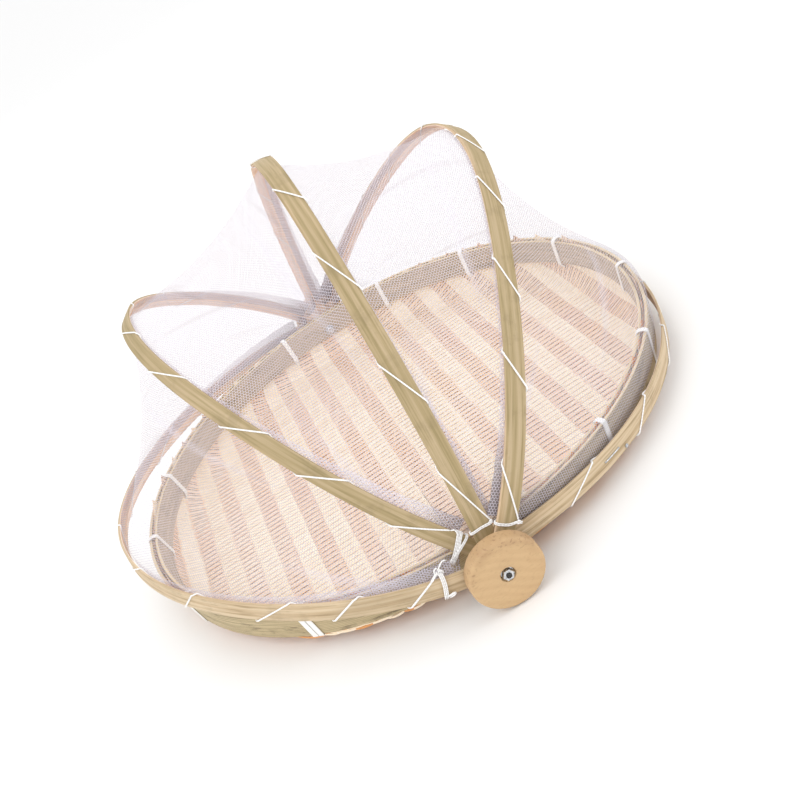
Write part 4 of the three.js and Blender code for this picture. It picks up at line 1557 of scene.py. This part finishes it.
@dataclass
class PivotCords:
    """The ends of the cords that are knotted beside the near disc."""

    by_name: dict[str, Hoop]
    diameter: float = 0.7
    lift: float = 2.3
    under: float = -0.9
    apart: float = 0.25

    def strands(
        self, hoop: str, places: Sequence[tuple[float, float, float]], count: int = 2,
    ) -> list[np.ndarray]:
        """Gives lines side by side from places as (angle, distance out, distance across)."""
        return [self.by_name[hoop].line(places, (k - (count - 1) / 2) * self.apart) for k in range(count)]

    def knot(self, hoop: str, turn: float, across: float, out: float, size: float) -> list[np.ndarray]:
        """Gives the turns of a small overhand knot at a place on a hoop.

        Args:
            hoop: The hoop's name.
            turn: The knot's angle from the near pivot, in degrees.
            across: Its distance across the strip.
            out: Its distance out of the inner face.
            size: Its size, as a share of a knot 2 mm wide.

        Returns:
            The lines of its three turns.
        """
        lines = []
        for k in range(3):
            a = np.linspace(0, 1.85 * math.pi, 14) + k * 1.3
            along = turn + (0.22 * np.cos(a) + (k - 1) * 0.16) * size
            side = across + (0.9 * np.sin(a) + (k - 1) * 0.35) * size
            lines.append(self.by_name[hoop].at(along, out + 0.45 * size * np.sin(a + k), side))
        return lines

    def tie(self, hoop: str, name: str, lines: list[np.ndarray], *nodes: str) -> None:
        """Makes one hoop's cord ends as a piece."""
        settle(cord_piece(name, lines, self.diameter), hoop, "white_cord", *nodes)

    def build(self) -> None:
        """Makes the cords, each on its own hoop."""
        up, under, strands, knot = self.lift, self.under, self.strands, self.knot
        hoop = "bow_top"
        lines = strands(hoop, [
            (6.3, under, 4.8), (6.1, 0.6, 6.1), (6.2, up, 4.9), (6.25, up, 0.0), (6.1, up, -4.9),
            (6.0, 0.6, -6.1), (6.1, under, -4.6)])
        self.tie(hoop, "bow_top_end_cord", lines + knot(hoop, 6.5, 5.2, up + 0.3, 0.6))
        hoop = "bow_right"
        lines = strands(hoop, [
            (6.4, under, -4.6), (6.2, 0.6, -6.1), (6.1, up, -4.6), (6.1, up, 0.8), (6.7, up + 0.2, 5.2),
            (6.5, 1.4, 7.2), (6.4, 0.2, 8.8)])
        self.tie(hoop, "bow_right_end_cord", lines + knot(hoop, 6.7, 5.4, up + 0.4, 0.7))
        hoop = "bow_left"
        lines = strands(hoop, [
            (7.3, -0.6, 5.2), (7.2, 1.6, 5.6), (7.1, up + 0.3, 3.6), (6.7, up + 0.5, -0.7), (6.3, up + 0.3, -5.2),
            (6.1, up - 0.3, -8.4), (6.0, up - 1.0, -11.4)], 4)
        lines += strands(hoop, [
            (6.0, under, 4.4), (5.9, 1.0, 5.6), (5.9, up + 0.2, 3.8), (6.1, up + 0.9, -1.6), (6.2, up + 0.9, -5.2),
            (6.1, up, -8.2)])
        lines += knot(hoop, 6.1, -9.4, up - 0.3, 0.9)
        lines += strands(hoop, [
            (8.8, up, 4.9), (8.3, up + 0.4, 6.0), (7.7, up + 0.5, 5.0), (7.3, up + 0.6, 3.4)], 1)
        self.tie(hoop, "bow_left_end_cord", lines)
        hoop = "lift_hoop"
        lines = knot(hoop, 9.1, 9.8, 1.6, 1.7)
        lines += strands(hoop, [(10.7, up - 0.3, 5.5), (10.2, up - 0.5, 7.2), (9.5, 1.7, 9.4)])
        lines += strands(hoop, [
            (9.0, 1.9, 9.4), (8.9, up + 0.1, 6.4), (8.95, up + 0.5, 2.0), (9.2, up + 0.4, -2.6),
            (9.45, up + 0.2, -6.2)], 3)
        lines += strands(hoop, [
            (9.1, up + 1.0, -4.6), (8.6, up + 1.0, -4.0), (8.0, up + 0.8, -3.4), (8.1, up + 0.7, -4.6),
            (8.8, up + 0.9, -5.6)])
        lines += strands(hoop, [(9.2, 1.4, 10.4), (8.6, 0.6, 12.4), (8.0, -0.4, 13.6), (7.4, -1.0, 13.0)], 1)
        self.tie(hoop, "lift_knot", lines, "lift_hoop_knot")


@dataclass
class Pivot:
    """One end of the pivot line: bolt, washers, wooden disc and nut."""

    rim: Rim
    place: str
    way: int
    stack_outer: float
    play: float = 0.3
    disc_radius: float = 19.5
    disc_thickness: float = 9.5
    edge_radius: float = 1.8
    recess_radius: float = 3.9
    recess_depth: float = 2.4
    bolt_radius: float = 1.5
    hole: float = 1.75
    head_radius: float = 2.8
    head_height: float = 1.7
    socket_radius: float = 0.9
    washer_radius: float = 3.5
    washer_thickness: float = 0.5
    chamfer: float = 0.12
    nut_flats: float = 5.5
    nut_height: float = 2.3
    nut_bevel: float = 0.35
    bore_play: float = 0.12
    thread_length: float = 5.0
    thread_pitch: float = 0.5
    thread_depth: float = 0.22
    bolt_past_nut: float = 0.8

    def fit(self, kind: str, name: str, points: np.ndarray, faces: list, finishes: Sequence[Finish],
            **options: object) -> None:
        """Sets one turned piece on the pivot line, in place of its node.

        Args:
            kind: The piece's name within the pivot.
            name: What its node is called within the pivot.
            points: Its points, with Z along the pivot line.
            faces: Its faces.
            finishes: Its finishes.
            options: Anything else that make_piece takes.
        """
        x, y, z = points.T
        placed = np.stack([x, self.way * z, self.rim.pivot_height + y], axis=-1)
        piece = cleaned(make_piece(f"{self.place}_{kind}", placed, faces, finishes, **options))
        slot = "turned_wood" if DISC_WOOD in finishes else "bright_steel"
        settle(piece, "basket", slot, f"{self.place}_{name}")

    def turned(self, kind: str, name: str, outline: Sequence[tuple[float, float]], finish: Finish,
               segments: int = 40, tip: int = 0) -> None:
        """Turns an outline about the pivot line.

        Args:
            kind: The piece's name within the pivot.
            name: What its node is called within the pivot.
            outline: Points as (radius, distance along the pivot line).
            finish: The piece's finish.
            segments: The number of steps round.
            tip: How many of the last steps of the outline are the dark end of a thread.
        """
        points, faces = lathe(outline, segments)
        first_dark = len(outline) - tip - 1
        sides = [int(tip > 0 and i % len(outline) >= first_dark) for i in range(len(faces))]
        self.fit(kind, name, points, faces, [finish, THREAD], sides=sides)

    def build(self) -> None:
        """Makes the five pieces."""
        rim = self.rim
        inner = self.stack_outer + self.play
        outer = inner + self.disc_thickness
        floor = outer - self.recess_depth
        facet = math.cos(math.pi / 60)
        face = rim.inner_face(rim.pivot_height - self.washer_radius) * facet - rim.gap
        e, r, recess = self.edge_radius, self.disc_radius, self.recess_radius
        arc = [(math.cos(a), math.sin(a)) for a in np.linspace(0, math.pi / 2, 7)]
        disc = [(self.hole, inner)]
        disc += [(r - e + e * s, inner + e - e * c) for c, s in arc]
        disc += [(r - e + e * c, outer - e + e * s) for c, s in arc]
        disc += [(recess + 0.5, outer), (recess + 0.15, outer - 0.12), (recess, outer - 0.5), (recess, floor),
                 (self.hole, floor)]
        self.turned("disc", "wooden_disc", disc, DISC_WOOD, 96)
        self.washer("bolt_washer", face - self.washer_thickness)
        self.washer("nut_washer", floor + SEAT)
        seat = floor + 2 * SEAT + self.washer_thickness
        self.bolt(face - self.washer_thickness - SEAT, seat + self.nut_height + self.bolt_past_nut)
        self.nut(seat)

    def washer(self, kind: str, start: float) -> None:
        """Makes a flat washer with softened edges.

        Args:
            kind: The washer's name within the pivot.
            start: Where its inner face is.
        """
        t, r, h, c = self.washer_thickness, self.washer_radius, self.hole, self.chamfer
        outline = [(h, start), (r - c, start), (r, start + c)]
        outline += [(r, start + t - c), (r - c, start + t), (h, start + t)]
        self.turned(kind + "_ring", kind, outline, STEEL)

    def bolt(self, base: float, end: float) -> None:
        """Makes the bolt with its domed head and the thread at its end.

        Args:
            base: Where the head meets the washer.
            end: Where the thread ends.
        """
        b, h, t, s = self.bolt_radius, self.head_radius, self.head_height, self.socket_radius
        outline = [(0.0, base - t * 0.55), (s, base - t * 0.55), (s, base - t)]
        outline += [(s + (h - s) * math.sin(a), base - t * math.cos(a) * 0.75 - t * 0.25)
                    for a in np.linspace(0.15, math.pi / 2, 6)]
        outline += [(h, base), (b, base), (b, base + 4)]
        z = end - self.thread_length
        while z < end - 0.6:
            outline += [(b, z), (b - self.thread_depth, z + self.thread_pitch / 2)]
            z += self.thread_pitch
        outline += [(b - 0.1, end - 0.3), (b - 0.4, end), (0.0, end)]
        self.turned("bolt_body", "bolt", outline, STEEL, tip=5)

    def nut(self, base: float) -> None:
        """Makes the six-sided nut with bevelled corners.

        Args:
            base: Where it rests on its washer.
        """
        corner, bore = self.nut_flats / 2 / math.cos(math.pi / 6), self.bolt_radius + self.bore_play
        top = base + self.nut_height
        levels = [(base, corner * 0.93), (base + self.nut_bevel, corner), (top - self.nut_bevel, corner),
                  (top, corner * 0.93), (top, bore), (base, bore)]
        turn = np.linspace(0, 2 * math.pi, 6, endpoint=False)
        rings = [np.stack([r * np.cos(turn), r * np.sin(turn), np.full(6, z)], axis=-1) for z, r in levels]
        points, faces, _ = sweep(np.array(rings))
        self.fit("nut_body", "nut", points, faces, [STEEL], smooth=False)


@dataclass
class RimFasteners:
    """The staple and the nail that hold the fixed rim hoop to the outer band."""

    hoop: Hoop
    start: float = 24.9
    end: float = 28.7
    bend: float = 0.25
    wire: float = 0.8
    reach: float = 4.5
    nail_angle: float = 30.6
    nail_across: float = 3.6
    nail_radius: float = 0.55

    def build(self) -> None:
        """Makes both."""
        hoop, low = self.hoop, -self.reach
        base = hoop.thickness + SEAT
        high = base + self.wire / 2
        start, end, bend = self.start, self.end, self.bend
        path = [(start, low), (start, low / 2), (start, high - 0.5), (start + bend, high)]
        path += [(end - bend, high), (end, high - 0.5), (end, low / 2), (end, low)]
        path = hoop.line([(turn, out, 0.0) for turn, out in path])
        wire = cord_piece("staple_wire", [path], self.wire, STEEL)
        settle(wire, "basket", "bright_steel", "rim_staple")
        foot, tip = hoop.line([(self.nail_angle, out, self.nail_across) for out in (0.0, 1.0)])
        out = tip - foot
        side = np.cross(out, (0.0, 1.0, 0.0))
        side /= np.linalg.norm(side)
        r = self.nail_radius
        outline = [(0.0, low), (r - 0.1, low), (r, low + 1), (r, base), (2 * r, base), (1.2, base + 0.15),
                   (1.15, base + 0.4), (0.8, base + 0.5), (0.0, base + 0.52)]
        points, faces = lathe(outline, 24)
        placed = foot + points @ np.array([side, np.cross(out, side), out])
        settle(cleaned(make_piece("nail_body", placed, faces, [STEEL])), "basket", "bright_steel", "rim_nail")


@dataclass
class Studio:
    """The plain floor, the soft lights and the camera."""

    rim: Rim
    azimuth: float = 2.70
    elevation: float = 28.52
    roll: float = 31.74
    distance: float = 699.6
    aside: float = 8.84
    above: float = 4.81
    focal_share: float = 1129.8 / 800
    sensor: float = 36.0
    ambient: float = 1.12
    floor_reach: float = 120000.0
    floor_height: float = -0.05

    def camera(self) -> None:
        """Sets the camera at the photograph's angle."""
        a, e, r = (math.radians(v) for v in (self.azimuth, self.elevation, self.roll))
        look = Vector((math.sin(a) * math.cos(e), math.cos(a) * math.cos(e), -math.sin(e)))
        right = Vector((math.cos(a), -math.sin(a), 0.0))
        up = right.cross(look)
        x = right * math.cos(r) - up * math.sin(r)
        y = right * math.sin(r) + up * math.cos(r)
        target = Vector((0, 0, self.rim.pivot_height)) + right * self.aside + up * self.above
        data = bpy.data.cameras.new("camera")
        data.sensor_width = self.sensor
        data.lens = self.sensor * self.focal_share
        data.clip_start = 0.01
        camera = link("camera", data)
        turn = Matrix((x, y, -look)).transposed().to_4x4()
        camera.matrix_world = Matrix.Translation((target - look * self.distance) * MM) @ turn
        bpy.context.scene.camera = camera

    def light(self, name: str, place: tuple[float, float, float], size: float, power: float) -> None:
        """Adds one soft square light that faces the basket.

        Args:
            name: The light's name.
            place: Where it hangs, in metres.
            size: The length of its side, in metres.
            power: Its power in watts.
        """
        data = bpy.data.lights.new(name, "AREA")
        data.energy = power
        data.size = size
        lamp = link(name, data)
        lamp.location = place
        lamp.rotation_euler = (Vector((0, 0, 0.05)) - Vector(place)).to_track_quat("-Z", "Y").to_euler()

    def build(self) -> None:
        """Makes the floor, the surroundings, the lights and the camera."""
        corners = [(x * self.floor_reach, y * self.floor_reach, self.floor_height)
                   for x, y in ((-1, -1), (1, -1), (1, 1), (-1, 1))]
        floor = make_piece("floor", np.array(corners), [(0, 1, 2, 3)], [FloorFinish()])
        world = bpy.data.worlds.new("studio")
        world.use_nodes = True
        sky = world.node_tree.nodes["Background"].inputs
        sky["Color"].default_value, sky["Strength"].default_value = (1.0, 1.0, 1.0, 1.0), self.ambient
        bpy.context.scene.world = world
        bpy.context.scene.view_settings.view_transform = "Standard"
        self.light("key", (-0.9, -0.7, 1.5), 1.2, 7.5)
        self.light("fill", (1.2, -0.5, 1.0), 1.4, 3.5)
        self.light("back", (0.2, 1.4, 1.2), 1.4, 2.5)
        self.camera()


def hoops(rim: Rim) -> dict[str, Hoop]:
    """Gives the five hoops by name.

    Args:
        rim: The rim that they are fitted to.

    Returns:
        The hoops, from the fixed one to the lifting one.
    """
    made = [
        Hoop("fixed_rim_hoop", "basket", 182.5, 0, -0.012, 1.6, rim, skin=PALE_SKIN),
        Hoop("bow_left", "bow_left", 54.4, 1, 0.066, -2.4, rim, width=9.4),
        Hoop("bow_top", "bow_top", 94.8, 2, 0.066, -2.4, rim),
        Hoop("bow_right", "bow_right", 131.1, 3, 0.066, -2.4, rim),
        Hoop("lift_hoop", "lift_hoop", 8.7, 4, 0.042, -2.4, rim, skin=PALE_SKIN),
    ]
    return {hoop.name: hoop for hoop in made}


def net_panels(rim: Rim, by_name: dict[str, Hoop], inset: float = -1.4, aside: float = 0.3) -> None:
    """Makes the four panels of net.

    Args:
        rim: The rim that the right panel goes over.
        by_name: The hoops.
        inset: How far the net's edges stand out of the hoops' inner faces.
        aside: How far they are beside the middle of the hoops.
    """
    def edge(name: str, side: float) -> Callable[[np.ndarray], np.ndarray]:
        """Gives the net's edge on the inner face of a hoop."""
        return lambda turn: by_name[name].at(turn, inset, side * aside)

    def over_rim(turn: np.ndarray) -> np.ndarray:
        """Gives the net's edge just over the top of the right rim."""
        return rim.beside(turn, rim.outer_face(rim.top) + rim.net_lift, rim.top + rim.net_lift)

    for node, first, second in (("net_left", "bow_left", "lift_hoop"), ("net_top_left", "bow_top", "bow_left"),
                                ("net_top_right", "bow_right", "bow_top")):
        pair = (first, second)
        NetPanel(node + "_cloth", node, edge(first, -1), edge(second, 1), pair, pair).build()
    NetPanel("net_right_cloth", "net_right", over_rim, edge("bow_right", 1), ("basket", "bow_right"),
             ("outer_rim_band", "bow_right"), gather_shade=6.0).build()


def main() -> None:
    """Builds every sub-assembly in order."""
    logging.basicConfig(level=logging.INFO, format="%(name)s %(message)s")
    rim = Rim()
    Studio(rim).build()
    rim.build()
    WovenMat(rim).build()
    RimFringe(rim).build()
    RimTies(rim).build()
    by_name = hoops(rim)
    for hoop in by_name.values():
        hoop.strip()
        Lashing(hoop).build()
    outer = by_name["lift_hoop"].seat + by_name["lift_hoop"].thickness
    for place, way in (("near", -1), ("far", 1)):
        Pivot(rim, place, way, outer).build()
    RimFasteners(by_name["fixed_rim_hoop"]).build()
    PivotCords(by_name).build()
    net_panels(rim, by_name)
    NetHem(by_name["bow_left"], most=7.0, reach=38.0, gather_shade=0.5, shade_reach=5.0).build()
    NetHem(by_name["bow_top"], most=3.6, reach=30.0).build()
    NetHem(by_name["bow_right"], side=-1, most=4.6, reach=24.0, gather_shade=0.9, shade_reach=9.0).build()
    NetHem(by_name["lift_hoop"], least=1.9, most=7.0, reach=32.0, gather_shade=0.25).build()
    NetSkirt(rim).build()


if __name__ == "__main__":
    main()
